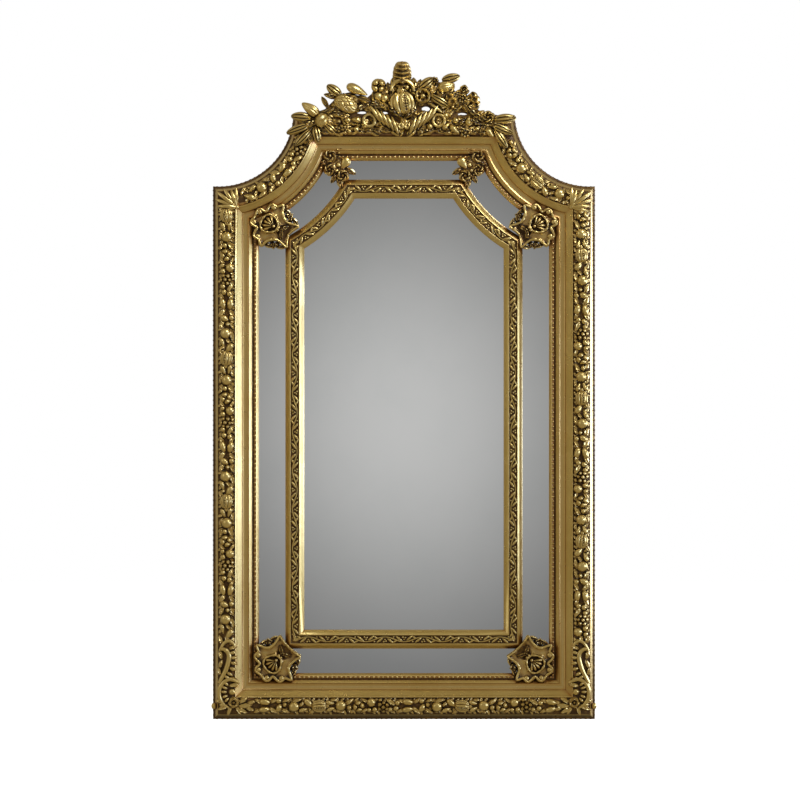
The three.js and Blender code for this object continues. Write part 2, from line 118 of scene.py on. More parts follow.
@dataclass(frozen=True)
class Form:
    """A closed triangle surface in the drawing, with the coat of each triangle.

    Attributes:
        verts: Points, one row each.
        tris: Corner numbers, one triangle a row.
        coats: Coat number of each triangle.
    """

    verts: np.ndarray
    tris: np.ndarray
    coats: np.ndarray

    @staticmethod
    def closed(verts: np.ndarray, tris: np.ndarray, coats: int | np.ndarray = Coat.CARVED.value) -> "Form":
        """Makes a form whose triangles face out, judged by the sign of its volume.

        Args:
            verts: Points.
            tris: Corner numbers.
            coats: One coat number, or one for each triangle.

        Returns:
            The form.
        """
        corner = verts[tris]
        volume = np.einsum("ij,ij->", corner[:, 0], np.cross(corner[:, 1], corner[:, 2]))
        ordered = tris if volume > 0 else tris[:, ::-1]
        return Form(verts, ordered, np.broadcast_to(np.asarray(coats), len(tris)))

    @staticmethod
    def joined(forms: Iterable["Form"]) -> "Form":
        """Lays several forms into one.

        Args:
            forms: The forms.

        Returns:
            One form that holds them all.
        """
        kept = list(forms)
        starts = np.cumsum([0] + [len(form.verts) for form in kept[:-1]])
        return Form(
            np.concatenate([form.verts for form in kept]),
            np.concatenate([form.tris + start for form, start in zip(kept, starts)]),
            np.concatenate([form.coats for form in kept]),
        )

    def put(
        self,
        place: Sequence[float],
        size: Sequence[float] = (1.0, 1.0, 1.0),
        turn: float = 0.0,
        tip: float = 0.0,
    ) -> "Form":
        """Scales the form, tips its far end out of the wall, turns it in the wall's plane and moves it.

        Args:
            place: Where its middle goes.
            size: Factors along, across and out of the wall.
            turn: Degrees anticlockwise, seen from the front.
            tip: Degrees by which its +x end rises out of the wall.

        Returns:
            The moved form.
        """
        lift, spin = math.radians(tip), math.radians(turn)
        tipped = np.array([
            [math.cos(lift), 0.0, -math.sin(lift)],
            [0.0, 1.0, 0.0],
            [math.sin(lift), 0.0, math.cos(lift)],
        ])
        turned = np.array([
            [math.cos(spin), -math.sin(spin), 0.0],
            [math.sin(spin), math.cos(spin), 0.0],
            [0.0, 0.0, 1.0],
        ])
        verts = (self.verts * np.asarray(size)) @ (turned @ tipped).T + np.asarray(place)
        return Form(verts, self.tris, self.coats)

    def mirrored(self) -> "Form":
        """Reflects the form across the middle of the mirror.

        Returns:
            The reflected form, still facing out.
        """
        return Form(self.verts * (-1.0, 1.0, 1.0), self.tris[:, ::-1], self.coats)


def grid_tris(rows: int, cols: int, wrap_rows: bool) -> np.ndarray:
    """Triangles of a grid that is closed round its columns.

    Args:
        rows: Rows of points.
        cols: Points in a row.
        wrap_rows: Whether the last row joins the first.

    Returns:
        Corner numbers.
    """
    row = np.arange(rows if wrap_rows else rows - 1)[:, None]
    col = np.arange(cols)[None, :]
    ahead, beside = (row + 1) % rows, (col + 1) % cols
    a, b = row * cols + col, row * cols + beside
    c, d = ahead * cols + beside, ahead * cols + col
    return np.stack([a, b, c, a, c, d], axis=-1).reshape(-1, 3)


def skin(points: np.ndarray) -> Form:
    """Closes a grid of rings into a carved skin, with a fan over the first and the last ring.

    Args:
        points: Rings of points, as rows by columns by three.

    Returns:
        The closed form.
    """
    rows, cols, _ = points.shape
    ring = np.arange(cols)
    beside = (ring + 1) % cols
    first = np.stack([np.full(cols, rows * cols), beside, ring], axis=-1)
    end = (rows - 1) * cols
    last = np.stack([np.full(cols, rows * cols + 1), end + ring, end + beside], axis=-1)
    verts = np.concatenate([points.reshape(-1, 3), [points[0].mean(axis=0)], [points[-1].mean(axis=0)]])
    tris = np.concatenate([grid_tris(rows, cols, False), first, last])
    return Form.closed(verts, tris)


def tube(path: np.ndarray, radii: np.ndarray, cols: int = 9, flat: float = 1.0) -> Form:
    """Carries a round section along a path that lies in the plane of the wall.

    Each ring stands square to the path: its first axis is in the wall's plane, its second points out of
    the wall.

    Args:
        path: Points of the centre line.
        radii: Radius at each point.
        cols: Sides of the section.
        flat: Height of the section over its width.

    Returns:
        The closed tube.
    """
    heading = np.gradient(path, axis=0)
    heading /= np.linalg.norm(heading, axis=1, keepdims=True)
    out = np.array([0.0, 0.0, 1.0])
    side = np.cross(out, heading)
    side /= np.linalg.norm(side, axis=1, keepdims=True)
    rise = np.cross(heading, side)
    angle = np.arange(cols) / cols * 2 * np.pi
    across = side[:, None, :] * np.cos(angle)[None, :, None]
    above = rise[:, None, :] * np.sin(angle)[None, :, None] * flat
    return skin(path[:, None, :] + (across + above) * radii[:, None, None])


def ribbon(points: Sequence[Sequence[float]], depth: float, thick: float) -> Form:
    """A tapering strap of round section along a smooth curve through points of the drawing.

    Each stretch is a cubic that passes through its two ends, with slopes taken from the points on either
    side.

    Args:
        points: Points in the plane of the wall.
        depth: Depth of the curve.
        thick: Radius at its middle.

    Returns:
        The closed form.
    """
    knots = np.array(points, dtype=float)
    ends = np.concatenate([[2 * knots[0] - knots[1]], knots, [2 * knots[-1] - knots[-2]]])
    share = np.linspace(0, len(knots) - 1, RIBBON_STEPS * (len(knots) - 1) + 1)
    span = np.minimum(share.astype(int), len(knots) - 2)
    part = (share - span)[:, None]
    before, start, end, after = (ends[span + shift] for shift in range(4))
    bend = 2 * before - 5 * start + 4 * end - after + part * (3 * (start - end) + after - before)
    curve = start + 0.5 * part * (end - before + part * bend)
    swelling = np.sin(np.pi * share / share[-1]) ** TAPER_POWER
    radii = thick * (RIBBON_TAPER + (1 - RIBBON_TAPER) * swelling)
    path = np.column_stack([curve, np.full(len(curve), depth)])
    return tube(path, radii, cols=RIBBON_COLS, flat=RIBBON_FLAT)


def slab(outline: np.ndarray, holes: Sequence[np.ndarray], back: float, front: float, coat: Coat) -> Form:
    """Cuts a flat piece with holes out of a sheet.

    Args:
        outline: Points round the outside.
        holes: Points round each hole.
        back: Depth of its back.
        front: Depth of its front.
        coat: Its finish.

    Returns:
        The closed piece.
    """
    loops = [outline, *holes]
    flat = np.concatenate(loops)
    faces = np.array(tessellate_polygon([[Vector((x, y, 0.0)) for x, y in loop] for loop in loops]))
    corner = flat[faces]
    one, two = corner[:, 1] - corner[:, 0], corner[:, 2] - corner[:, 0]
    clockwise = one[:, 0] * two[:, 1] - one[:, 1] * two[:, 0] < 0
    faces[clockwise] = faces[clockwise][:, ::-1]
    count = len(flat)
    walls = []
    start = 0
    for place, loop in enumerate(loops):
        ring = start + np.arange(len(loop))
        after = start + (np.arange(len(loop)) + 1) % len(loop)
        area = np.sum(loop[:, 0] * np.roll(loop[:, 1], -1) - loop[:, 1] * np.roll(loop[:, 0], -1))
        if (area > 0) != (place == 0):
            ring, after = after, ring
        corners = [ring, after, after + count, ring, after + count, ring + count]
        walls.append(np.stack(corners, axis=-1).reshape(-1, 3))
        start += len(loop)
    verts = np.concatenate([
        np.column_stack([flat, np.full(count, back)]),
        np.column_stack([flat, np.full(count, front)]),
    ])
    return Form.closed(verts, np.concatenate([faces[:, ::-1], faces + count, *walls]), coat.value)


@dataclass(frozen=True)
class Fruit:
    """A fruit lying along x, one unit long and wide each way from its middle.

    Its surface is a round profile turned about x. The profile narrows to a neck, and the turned surface is
    pressed in by lobes, by a cleft along its front and by a lattice of crossing grooves.

    Attributes:
        neck: Share by which the far end narrows.
        lobes: Number of lobes around it.
        lobe_depth: Depth of the grooves between them.
        cleft: Depth of the cleft.
        lattice: Depth of the crossing grooves.
        cup: Share by which the far half is thinner, as an acorn in its cup is.
        rows: Rings along it.
        cols: Points around it.
    """

    neck: float = 0.0
    lobes: int = 0
    lobe_depth: float = 0.0
    cleft: float = 0.0
    lattice: float = 0.0
    cup: float = 0.0
    rows: int = 10
    cols: int = 12

    def form(self) -> Form:
        """Builds the fruit.

        Returns:
            The closed form.
        """
        turn = np.linspace(0.06, np.pi - 0.06, self.rows)[:, None]
        around = (np.arange(self.cols) / self.cols * 2 * np.pi)[None, :]
        share = (1 - np.cos(turn)) / 2
        radius = np.sin(turn) ** 0.9 * (1 - self.neck * share**1.6)
        radius = radius * np.where(share > 0.45, 1 - self.cup, 1.0)
        crease = 1 - np.abs(np.sin(self.lobes * around / 2)) ** 0.5
        radius = radius * (1 - self.lobe_depth * crease)
        radius = radius * (1 - self.cleft * np.exp(-(((around - np.pi / 2) / 0.2) ** 2)))
        crossing = np.minimum(np.abs(np.sin(4 * around + 9 * share)), np.abs(np.sin(4 * around - 9 * share)))
        radius = radius * (1 - self.lattice * np.exp(-((crossing / 0.32) ** 2)))
        along = np.broadcast_to(-np.cos(turn), radius.shape)
        return skin(np.stack([along, radius * np.cos(around), radius * np.sin(around)], axis=-1))


@dataclass(frozen=True)
class Leaf:
    """A carved leaf along x, with its tip at +1 and its edges at y of plus and minus one.

    Its half width swells as a power of the sine of the way along, with notches between the veins. Its height
    over the ground is a dome across the blade, sunk along the midrib and rippled by slanting veins.

    Attributes:
        veins: Veins on each side.
        notch: Depth of the notches in the edge.
        ripple: Depth of the hollows between the veins.
        rib: Depth of the sunk midrib, or below zero the height of a raised one.
        lean: Where the blade is widest, below one towards its foot.
        blunt: Power of the sine, lower for a rounder leaf.
        slant: Share of the length by which a vein falls back from the rib to the edge.
        flutes: Number of flutes along the blade.
        rows: Sections along it.
        cols: Points across each face.
    """

    veins: int = 3
    notch: float = 0.1
    ripple: float = 0.1
    rib: float = 0.45
    lean: float = 0.9
    blunt: float = 0.62
    slant: float = 0.22
    flutes: int = 0
    rows: int = 13
    cols: int = 7

    def form(self) -> Form:
        """Builds the leaf.

        Returns:
            The closed form.
        """
        along = np.linspace(0.03, 0.985, self.rows)[:, None]
        across = np.linspace(-1, 1, self.cols)[None, :]
        half = np.sin(np.pi * along**self.lean) ** self.blunt
        half = half * (1 - self.notch * (1 - np.abs(np.sin(self.veins * np.pi * along)) ** 0.7))
        rise = np.sin(np.pi * (0.14 + 0.74 * along)) ** 0.6
        dome = 1 - 0.5 * across**4
        rib = 1 - self.rib * np.exp(-((across / 0.2) ** 2))
        veins = 1 + self.ripple * np.cos(2 * np.pi * self.veins * (along - self.slant * np.abs(across)))
        if self.flutes:
            veins = veins * (0.76 + 0.24 * np.abs(np.sin(np.pi * self.flutes * (across + 1) / 2)) ** 0.6)
        top = np.stack(np.broadcast_arrays(2 * along - 1, across * half, rise * dome * rib * veins), axis=-1)
        under = top[:, ::-1] * (1.0, 0.92, 0.0) - (0.0, 0.0, 0.35)
        return skin(np.concatenate([top, under], axis=1))


@dataclass(frozen=True)
class Flower:
    """An open flower that faces out of the wall, one unit in radius and one high.

    Its height over the middle is a boss; further out the petals swell and fall to the rim, and both rim and
    height dip between the petals.

    Attributes:
        petals: Number of petals.
        boss: Share of the radius that the boss takes.
        cup: Height of the petals over the boss's.
        notch: Depth of the notch between petals.
        swirl: Turn of the petals from the boss to the rim, in radians.
        rows: Rings from the middle to the rim.
        cols: Points around it.
    """

    petals: int = 6
    boss: float = 0.3
    cup: float = 0.75
    notch: float = 0.25
    swirl: float = 0.0
    rows: int = 9
    cols: int = 30

    def form(self) -> Form:
        """Builds the flower.

        Returns:
            The closed form.
        """
        reach = np.linspace(0.04, 1.0, self.rows)[:, None]
        around = (np.arange(self.cols) / self.cols * 2 * np.pi)[None, :]
        petal = np.abs(np.cos(self.petals * (around + self.swirl * reach) / 2)) ** 0.55
        rim = 1 - self.notch * (1 - petal)
        outside = np.clip((reach - self.boss) / (1 - self.boss), 0, 1)
        middle = np.cos(np.clip(reach / self.boss, 0, 1) * np.pi / 2) ** 0.6
        blade = self.cup * np.sin(np.pi * (0.22 + 0.62 * outside)) * (0.6 + 0.4 * petal)
        height = np.where(reach < self.boss, 0.5 + 0.5 * middle, blade)
        flat = np.stack([reach * rim * np.cos(around), reach * rim * np.sin(around), height], axis=-1)
        foot = flat[-1:] * (0.9, 0.9, 0.0) - (0.0, 0.0, 0.4)
        return skin(np.concatenate([flat, foot, foot * (0.2, 0.2, 1.0)]))


@dataclass(frozen=True)
class Shell:
    """A scallop fan from its apex at the middle towards -x, one unit in reach and one high.

    Its height climbs from the apex and falls at the rim, and swells over each flute; its rim is scalloped
    alike.

    Attributes:
        flutes: Number of flutes.
        spread: Degrees from its first to its last flute.
    """

    flutes: int = 6
    spread: float = 150.0

    def form(self) -> Form:
        """Builds the shell.

        Returns:
            The closed form.
        """
        share = np.linspace(0, 1, 8 * self.flutes + 1)[:, None]
        angle = np.pi + np.radians(self.spread) * (share - 0.5)
        flute = np.abs(np.sin(np.pi * self.flutes * share)) ** 0.7
        reach = np.linspace(0.12, 1.0, 8)[None, :]
        rim = 0.88 + 0.12 * flute
        height = np.sin(np.pi * (0.12 + 0.8 * reach)) ** 0.5 * (0.7 + 0.3 * flute)
        parts = (reach * rim * np.cos(angle), reach * rim * np.sin(angle), height)
        top = np.stack(np.broadcast_arrays(*parts), axis=-1)
        under = top[:, ::-1] * (0.95, 0.95, 0.0) - (0.0, 0.0, 0.4)
        return skin(np.concatenate([top, under], axis=1))


@dataclass(frozen=True)
class Scroll:
    """A scroll of tapering round section, bent in the plane of the wall.

    Its bend is given at its start, middle and end in degrees per unit of length, so tight ends curl into
    volutes. Its middle lies at the origin, heading along +x, and it opens towards +y where its bend is
    positive.

    Attributes:
        length: Length along the scroll.
        start: Bend at its start.
        middle: Bend at its middle.
        end: Bend at its end.
        thick: Radius at its middle.
        taper: Radius at its ends, over that at its middle.
        flat: Height of its section over its width.
        knobs: Radius of the round eye at each end, over that at its middle.
    """

    length: float
    start: float
    middle: float
    end: float
    thick: float
    taper: float = 0.45
    flat: float = 1.15
    knobs: float = 0.9

    def form(self) -> Form:
        """Builds the scroll.

        Returns:
            The closed form.
        """
        count = 34
        share = np.linspace(0, 1, count)
        early, late = np.clip(1 - 2 * share, 0, 1) ** 3, np.clip(2 * share - 1, 0, 1) ** 3
        bend = np.radians(self.middle + (self.start - self.middle) * early + (self.end - self.middle) * late)
        step = self.length / (count - 1)
        heading = np.cumsum(bend) * step
        heading -= heading[count // 2]
        path = np.cumsum(np.stack([np.cos(heading), np.sin(heading)], axis=-1) * step, axis=0)
        path = np.column_stack([path - path[count // 2], np.zeros(count)])
        radii = self.thick * (self.taper + (1 - self.taper) * np.sin(np.pi * share) ** TAPER_POWER)
        eye = Fruit(rows=7, cols=9).form()
        size = np.full(3, self.thick * self.knobs)
        return Form.joined([
            tube(path, radii, flat=self.flat),
            eye.put(path[0], size),
            eye.put(path[-1], size),
        ])


ROUND_FORMS = frozenset({
    Motif.PLUM, Motif.APPLE, Motif.PEAR, Motif.FIG,
    Motif.POMEGRANATE, Motif.PINEAPPLE, Motif.ACORN, Motif.BERRY,
})
ROUND_LIFT = 0.36
ROUND_HEIGHT = 0.66


class MotifLibrary:
    """Every carved form once, ready to be put in place.

    Attributes:
        forms: Form of each motif.
    """

    def __init__(self, fine: int) -> None:
        """Builds the forms.

        Args:
            fine: Factor on the number of points of each form.
        """
        ring, side = 4 + 4 * fine, 4 + 6 * fine
        long, wide = 5 + 5 * fine, 4 + 2 * fine
        smooth = {"veins": 1, "notch": 0.0, "ripple": 0.0}
        self.forms: dict[Motif, Form] = {
            Motif.PLUM: Fruit(cleft=0.3, neck=0.12, rows=ring, cols=side).form(),
            Motif.APPLE: Fruit(rows=ring + 2, cols=side + 4).form(),
            Motif.PEAR: Fruit(neck=0.72, rows=ring, cols=side).form(),
            Motif.FIG: Fruit(neck=0.5, lobes=8, lobe_depth=0.14, rows=ring, cols=2 * side).form(),
            Motif.POMEGRANATE: self._pomegranate(ring),
            Motif.PINEAPPLE: Fruit(lattice=0.14, neck=0.12, rows=4 * ring, cols=6 * side).form(),
            Motif.ACORN: Fruit(cup=0.22, neck=0.3, rows=ring + 2, cols=side).form(),
            Motif.BERRY: Fruit(rows=4 + 2 * fine, cols=6 + 2 * fine).form(),
            Motif.CITRUS: self._citrus(),
            Motif.DAISY: Flower(petals=7, boss=0.34, rows=5 + 3 * fine, cols=28 * fine).form(),
            Motif.ROSE: Flower(
                petals=5, boss=0.26, cup=0.95, notch=0.14, swirl=2.2, rows=6 + 3 * fine, cols=20 * fine
            ).form(),
            Motif.LEAF: Leaf(rows=long, cols=wide).form(),
            Motif.FERN: Leaf(
                veins=7, notch=0.06, ripple=0.24, rib=-0.4, lean=1.05, blunt=0.3, slant=0.08,
                rows=4 * long, cols=2 * wide + 1,
            ).form(),
            Motif.OAK: Leaf(notch=0.2, ripple=0.2, rib=0.5, blunt=0.5, rows=2 * long, cols=wide + 2).form(),
            Motif.STRAP: Leaf(**smooth, rib=0.4, lean=1.05, rows=long, cols=wide).form(),
            Motif.REED: Leaf(**smooth, rib=0.0, lean=1.0, blunt=0.5, rows=long, cols=wide).form(),
            Motif.PALM: Leaf(
                **smooth, rib=0.0, lean=0.95, blunt=0.5, flutes=3, rows=long + 2, cols=13
            ).form(),
            Motif.QUARTERED: Flower(
                petals=4, boss=0.1, cup=0.9, notch=0.06, rows=6 + 3 * fine, cols=24 * fine
            ).form(),
        }

    @staticmethod
    def _pomegranate(ring: int) -> Form:
        """A lobed fruit, split along its front over a bed of seeds, with a crown at its far end.

        Args:
            ring: Rings along it.

        Returns:
            The closed form.
        """
        body = Fruit(lobes=10, lobe_depth=0.26, rows=ring + 4, cols=60).form()
        lip = np.linspace(0, 2 * np.pi, 21)
        path = np.stack([0.7 * np.cos(lip), 0.25 * np.sin(lip) - 0.24, np.full(21, 0.9)], axis=-1)
        path[:, 2] -= 0.24 * np.cos(lip) ** 2
        seed = Fruit(rows=5, cols=6).form()
        # Painted shade: the split along the front takes the dark coat.
        bed = Form(seed.verts, seed.tris, np.full(len(seed.tris), Coat.SHADED_GROUND.value))
        seeds = [
            seed.put((along, across - 0.24, 0.97 - 0.3 * along**2), (0.1, 0.085, 0.1))
            for along in np.linspace(-0.44, 0.44, 5)
            for across in (-0.09, 0.09)
        ]
        crown = Flower(petals=5, boss=0.3, rows=5, cols=15).form().put((1.0, 0, 0.1), (0.32, 0.32, 0.4))
        split = bed.put((0.0, -0.24, 0.78), (0.66, 0.22, 0.18))
        return Form.joined([body, split, tube(path, np.full(21, 0.075), cols=6), crown, *seeds])

    @staticmethod
    def _citrus() -> Form:
        """A cut fruit that faces out: a rim round a flat face with a ring of six pits.

        Returns:
            The closed form.
        """
        reach = np.linspace(0.05, 0.9, 13)[:, None]
        around = np.linspace(0, 2 * np.pi, 73)[None, :-1]
        aside = (np.mod(around * 3 / np.pi, 1.0) - 0.5) * np.pi / 3 * reach
        pits = np.exp(-(((reach - 0.52) ** 2 + aside**2) / 0.17**2))
        height = 0.66 - 0.62 * pits
        face = np.stack([reach * np.cos(around), reach * np.sin(around), height], axis=-1)
        foot = face[-1:] * (1.0, 1.0, 0.0) - (0.0, 0.0, 0.3)
        turn = np.linspace(0, 2 * np.pi, 33)
        path = np.stack([0.87 * np.cos(turn), 0.87 * np.sin(turn), np.full(33, 0.75)], axis=-1)
        rim = tube(path, np.full(33, 0.15), cols=8, flat=1.6)
        return Form.joined([skin(np.concatenate([face, foot])), rim])

    def put(
        self,
        motif: Motif,
        place: Sequence[float],
        size: Sequence[float],
        turn: float,
        tip: float = 0.0,
    ) -> Form:
        """Puts one motif in place.

        Args:
            motif: Which one.
            place: Where its middle goes.
            size: Half length, half width and height.
            turn: Degrees anticlockwise.
            tip: Degrees by which its far end rises.

        Returns:
            The placed form.
        """
        x, y, depth = place
        long, wide, high = size
        if motif in ROUND_FORMS:
            depth, high = depth + ROUND_LIFT * high, ROUND_HEIGHT * high
        return self.forms[motif].put((x, y, depth), (long, wide, high), turn, tip)


@dataclass(frozen=True)
class Outline:
    """An outline with a straight foot, sides and top and a hollow quarter in each shoulder.

    Attributes:
        half: Half width.
        foot: Height of the foot.
        top: Height of the top.
        radius: Radius of the hollow shoulders.
        centre_x: Distance of their centres from the middle.
        centre_y: Height of their centres.
    """

    half: float
    foot: float
    top: float
    radius: float
    centre_x: float = 485.0
    centre_y: float = 1589.0

    def runs(self, inset: float, straight: int = 1) -> list[np.ndarray]:
        """The six runs of the outline, drawn in by an inset, anticlockwise from the foot.

        A straight run is a line between two corners. A shoulder is an arc about the fixed centre whose radius
        grows with the inset, so that all insets are parallel and meet in true mitres.

        Args:
            inset: Distance inwards.
            straight: Steps on a straight run.

        Returns:
            Points of the foot, right side, right shoulder, top, left shoulder and left side.
        """
        half, foot, top = self.half - inset, self.foot + inset, self.top - inset
        radius = self.radius + inset
        shoulder = self.centre_y - math.sqrt(radius**2 - (self.centre_x - half) ** 2)
        corner = self.centre_x - math.sqrt(radius**2 - (self.centre_y - top) ** 2)
        start = math.atan2(shoulder - self.centre_y, half - self.centre_x)
        end = math.atan2(top - self.centre_y, corner - self.centre_x)
        angle = np.linspace(start, end, HOLLOW_STEPS + 1)
        ring = np.stack([np.cos(angle), np.sin(angle)], axis=-1)
        arc = np.array([self.centre_x, self.centre_y]) + radius * ring
        far_arc = arc[::-1] * (-1.0, 1.0)
        share = np.linspace(0, 1, straight + 1)[:, None]
        corners = np.array([
            [(-half, foot), (half, foot)],
            [(half, foot), (half, shoulder)],
            [(corner, top), (-corner, top)],
            [(-half, shoulder), (-half, foot)],
        ])
        foot_run, right, top_run, left = ((1 - share) * pair[0] + share * pair[1] for pair in corners)
        return [foot_run, right, arc, top_run, far_arc, left]


class Walk:
    """Places along one run of points, by distance from its start."""

    def __init__(self, points: np.ndarray) -> None:
        """Measures the run.

        Args:
            points: Points of the run.
        """
        self.points = points
        steps = np.linalg.norm(np.diff(points, axis=0), axis=1)
        self.reached = np.concatenate([[0.0], np.cumsum(steps)])
        self.length = float(self.reached[-1])

    def at(self, distance: np.ndarray, across: np.ndarray | float = 0.0) -> tuple[np.ndarray, np.ndarray]:
        """Points beside the run and its headings there.

        Args:
            distance: Distances from the start.
            across: Distances to the left of the run, which is towards the glass.

        Returns:
            Points, and headings in radians.
        """
        distance = np.asarray(distance, dtype=float)
        spots = (distance, np.minimum(distance + 2, self.length), np.maximum(distance - 2, 0))
        spot, ahead, behind = (
            np.stack([np.interp(place, self.reached, line) for line in self.points.T], axis=-1)
            for place in spots
        )
        way = ahead - behind
        heading = np.arctan2(way[..., 1], way[..., 0])
        side = np.stack([-np.sin(heading), np.cos(heading)], axis=-1)
        return spot + side * np.asarray(across)[..., None], heading


@dataclass(frozen=True)
class Moulding:
    """A section carried round an outline.

    Attributes:
        outline: The outline.
        section: Inset and depth of each corner of the section, in order from the back of its outer edge.
        shade_strips: First and last inset of each strip that takes the dark coat of painted shade.
        ease: How far each corner is eased.
        back_depth: Depth up to which the surface is bare wood.
    """

    outline: Outline
    section: Sequence[tuple[float, float]]
    shade_strips: Sequence[tuple[float, float]] = ()
    ease: float = 0.7
    back_depth: float = 9.4

    def eased(self) -> np.ndarray:
        """The section with every corner cut by two points, a little way along both its edges.

        Returns:
            Points of the eased section.
        """
        corner = np.array(self.section, dtype=float)
        before, after = np.roll(corner, 1, axis=0), np.roll(corner, -1, axis=0)
        eased = []
        for other in (before, after):
            way = other - corner
            length = np.linalg.norm(way, axis=1, keepdims=True)
            eased.append(corner + way / length * np.minimum(self.ease, 0.3 * length))
        return np.stack(eased, axis=1).reshape(-1, 2)

    def form(self) -> Form:
        """Builds the moulding: each point of the section follows the outline at its own inset.

        Returns:
            The closed form.
        """
        section = self.eased()
        rings = []
        for inset, depth in section:
            ring = np.concatenate([run[:-1] for run in self.outline.runs(inset, straight=6)])
            rings.append(np.column_stack([ring, np.full(len(ring), depth)]))
        grid = np.stack(rings)
        ahead = np.roll(section, -1, axis=0)
        depth = np.maximum(section[:, 1], ahead[:, 1])
        inset = (section[:, 0] + ahead[:, 0]) / 2
        coats = np.full(len(section), Coat.PLAIN.value)
        # Painted shade: the listed strips of the section take the dark coat.
        for first, last in self.shade_strips:
            coats[(inset > first) & (inset < last)] = Coat.SHADED_GROUND.value
        coats[depth < self.back_depth] = Coat.BACK.value
        tris = grid_tris(*grid.shape[:2], wrap_rows=True)
        return Form.closed(grid.reshape(-1, 3), tris, np.repeat(coats, 2 * grid.shape[1]))


@dataclass(frozen=True)
class BeadRow:
    """A row of beads round an outline.

    Attributes:
        inset: Distance of the row from the outline.
        depth: Depth of the beads' middles.
        radius: Radius of a bead.
        pitch: Distance between beads.
        coat: Their finish.
        rows: Rings of a bead.
        cols: Points around a bead.
    """

    inset: float
    depth: float
    radius: float
    pitch: float
    coat: Coat = Coat.PLAIN
    rows: int = 6
    cols: int = 8

    def form(self, outline: Outline) -> Form:
        """Builds the row, evenly spaced on each run.

        Args:
            outline: The outline.

        Returns:
            All beads.
        """
        bead = Fruit(rows=self.rows, cols=self.cols).form()
        spots = []
        for run in outline.runs(self.inset):
            walk = Walk(run)
            count = max(1, round(walk.length / self.pitch))
            spots.append(walk.at((np.arange(count) + 0.5) * walk.length / count)[0])
        place = np.concatenate(spots)
        place = np.column_stack([place, np.full(len(place), self.depth)])
        verts = (place[:, None, :] + bead.verts[None] * self.radius).reshape(-1, 3)
        shift = np.arange(len(place))[:, None, None] * len(bead.verts)
        tris = (bead.tris[None] + shift).reshape(-1, 3)
        return Form(verts, tris, np.full(len(tris), self.coat.value))


@dataclass(frozen=True)
class Spot:
    """One motif in a layout.

    Attributes:
        motif: Which form.
        x: Place along the garland, or across the drawing.
        y: Place towards the glass, or up the drawing.
        long: Half length.
        wide: Half width.
        high: Height over the ground, or depth of its front.
        turn: Degrees anticlockwise.
    """

    motif: Motif
    x: float
    y: float
    long: float
    wide: float
    high: float
    turn: float = 0.0


GARLAND_REPEAT = (
    Spot(Motif.PLUM, 0, -10, 15.5, 9, 13, 10),
    Spot(Motif.PLUM, 1, 9.5, 15.5, 9.5, 13, -10),
    Spot(Motif.LEAF, 23, -12, 15, 8, 9, -32),
    Spot(Motif.LEAF, 25, 13, 14, 7, 9, 28),
    Spot(Motif.PLUM, 38, -6, 12, 9, 12, 60),
    Spot(Motif.BERRY, 37, 12, 8, 8, 11),
    Spot(Motif.BERRY, 53, 2, 6.5, 6.5, 10),
    Spot(Motif.LEAF, 54, -13, 14, 7, 9, -25),
    Spot(Motif.LEAF, 57, 14, 12, 6, 8, 20),
    Spot(Motif.APPLE, 77, -3, 14, 14, 14),
    Spot(Motif.LEAF, 84, 14, 16, 7, 10, 15),
    Spot(Motif.PEAR, 102, -11, 14, 8, 11, 15),
    Spot(Motif.LEAF, 97, 4, 12, 6, 8, 40),
    Spot(Motif.PEAR, 116, 6, 16, 11, 12, -35),
    Spot(Motif.LEAF, 127, -14, 13, 6, 9, 30),
    Spot(Motif.POMEGRANATE, 143, -1, 20, 17, 15),
    Spot(Motif.ACORN, 173, -9, 13, 8, 11, 20),
    Spot(Motif.ACORN, 171, 7, 13, 8, 11, -12),
    Spot(Motif.LEAF, 179, 15, 13, 6, 8, 10),
    Spot(Motif.APPLE, 199, 0, 14, 14, 14),
    Spot(Motif.LEAF, 197, -15, 13, 6, 8, -15),
    Spot(Motif.BERRY, 221, -5, 7.5, 7.5, 11),
    Spot(Motif.LEAF, 221, 10, 15, 8, 10, 30),
    Spot(Motif.LEAF, 224, -14, 11, 6, 8, -30),
    Spot(Motif.QUARTERED, 246, -2, 17, 16, 13, 15),
    Spot(Motif.LEAF, 263, 13, 13, 6, 9, -30),
    Spot(Motif.LEAF, 262, -12, 12, 6, 9, 35),
    Spot(Motif.APPLE, 279, 8, 12, 12, 13),
    Spot(Motif.BERRY, 273, -11, 7, 7, 10),
    Spot(Motif.BERRY, 288, -10, 8, 8, 11),
    Spot(Motif.BERRY, 300, -8, 5.5, 5.5, 11),
    Spot(Motif.BERRY, 301, 3, 6, 6, 13),
    Spot(Motif.BERRY, 302, 14, 6, 6, 10),
    Spot(Motif.BERRY, 310, -4, 6, 6, 14),
    Spot(Motif.BERRY, 311, 7, 5.5, 5.5, 12),
    Spot(Motif.BERRY, 311, -14, 5.5, 5.5, 10),
    Spot(Motif.BERRY, 319, -8, 5.5, 5.5, 11),
    Spot(Motif.BERRY, 320, 2, 5.5, 5.5, 12),
    Spot(Motif.BERRY, 328, -10, 7.5, 7.5, 10),
    Spot(Motif.LEAF, 331, 9, 16, 8, 10, -30),
    Spot(Motif.BERRY, 343, -7, 8, 8, 11),
    Spot(Motif.BERRY, 347, 7, 8, 8, 11),
    Spot(Motif.LEAF, 358, -12, 14, 7, 9, 25),
    Spot(Motif.LEAF, 360, 11, 14, 7, 9, -25),
)


@dataclass(frozen=True)
class GarlandRun:
    """A stretch of the frame that carries the garland.

    Attributes:
        run: Number of the outline's run.
        phase: Place of a pair of plums on it, from the frame's own corner.
        first: First place that the garland takes.
        last: Last place that it takes.
    """

    run: int
    phase: float
    first: float
    last: float


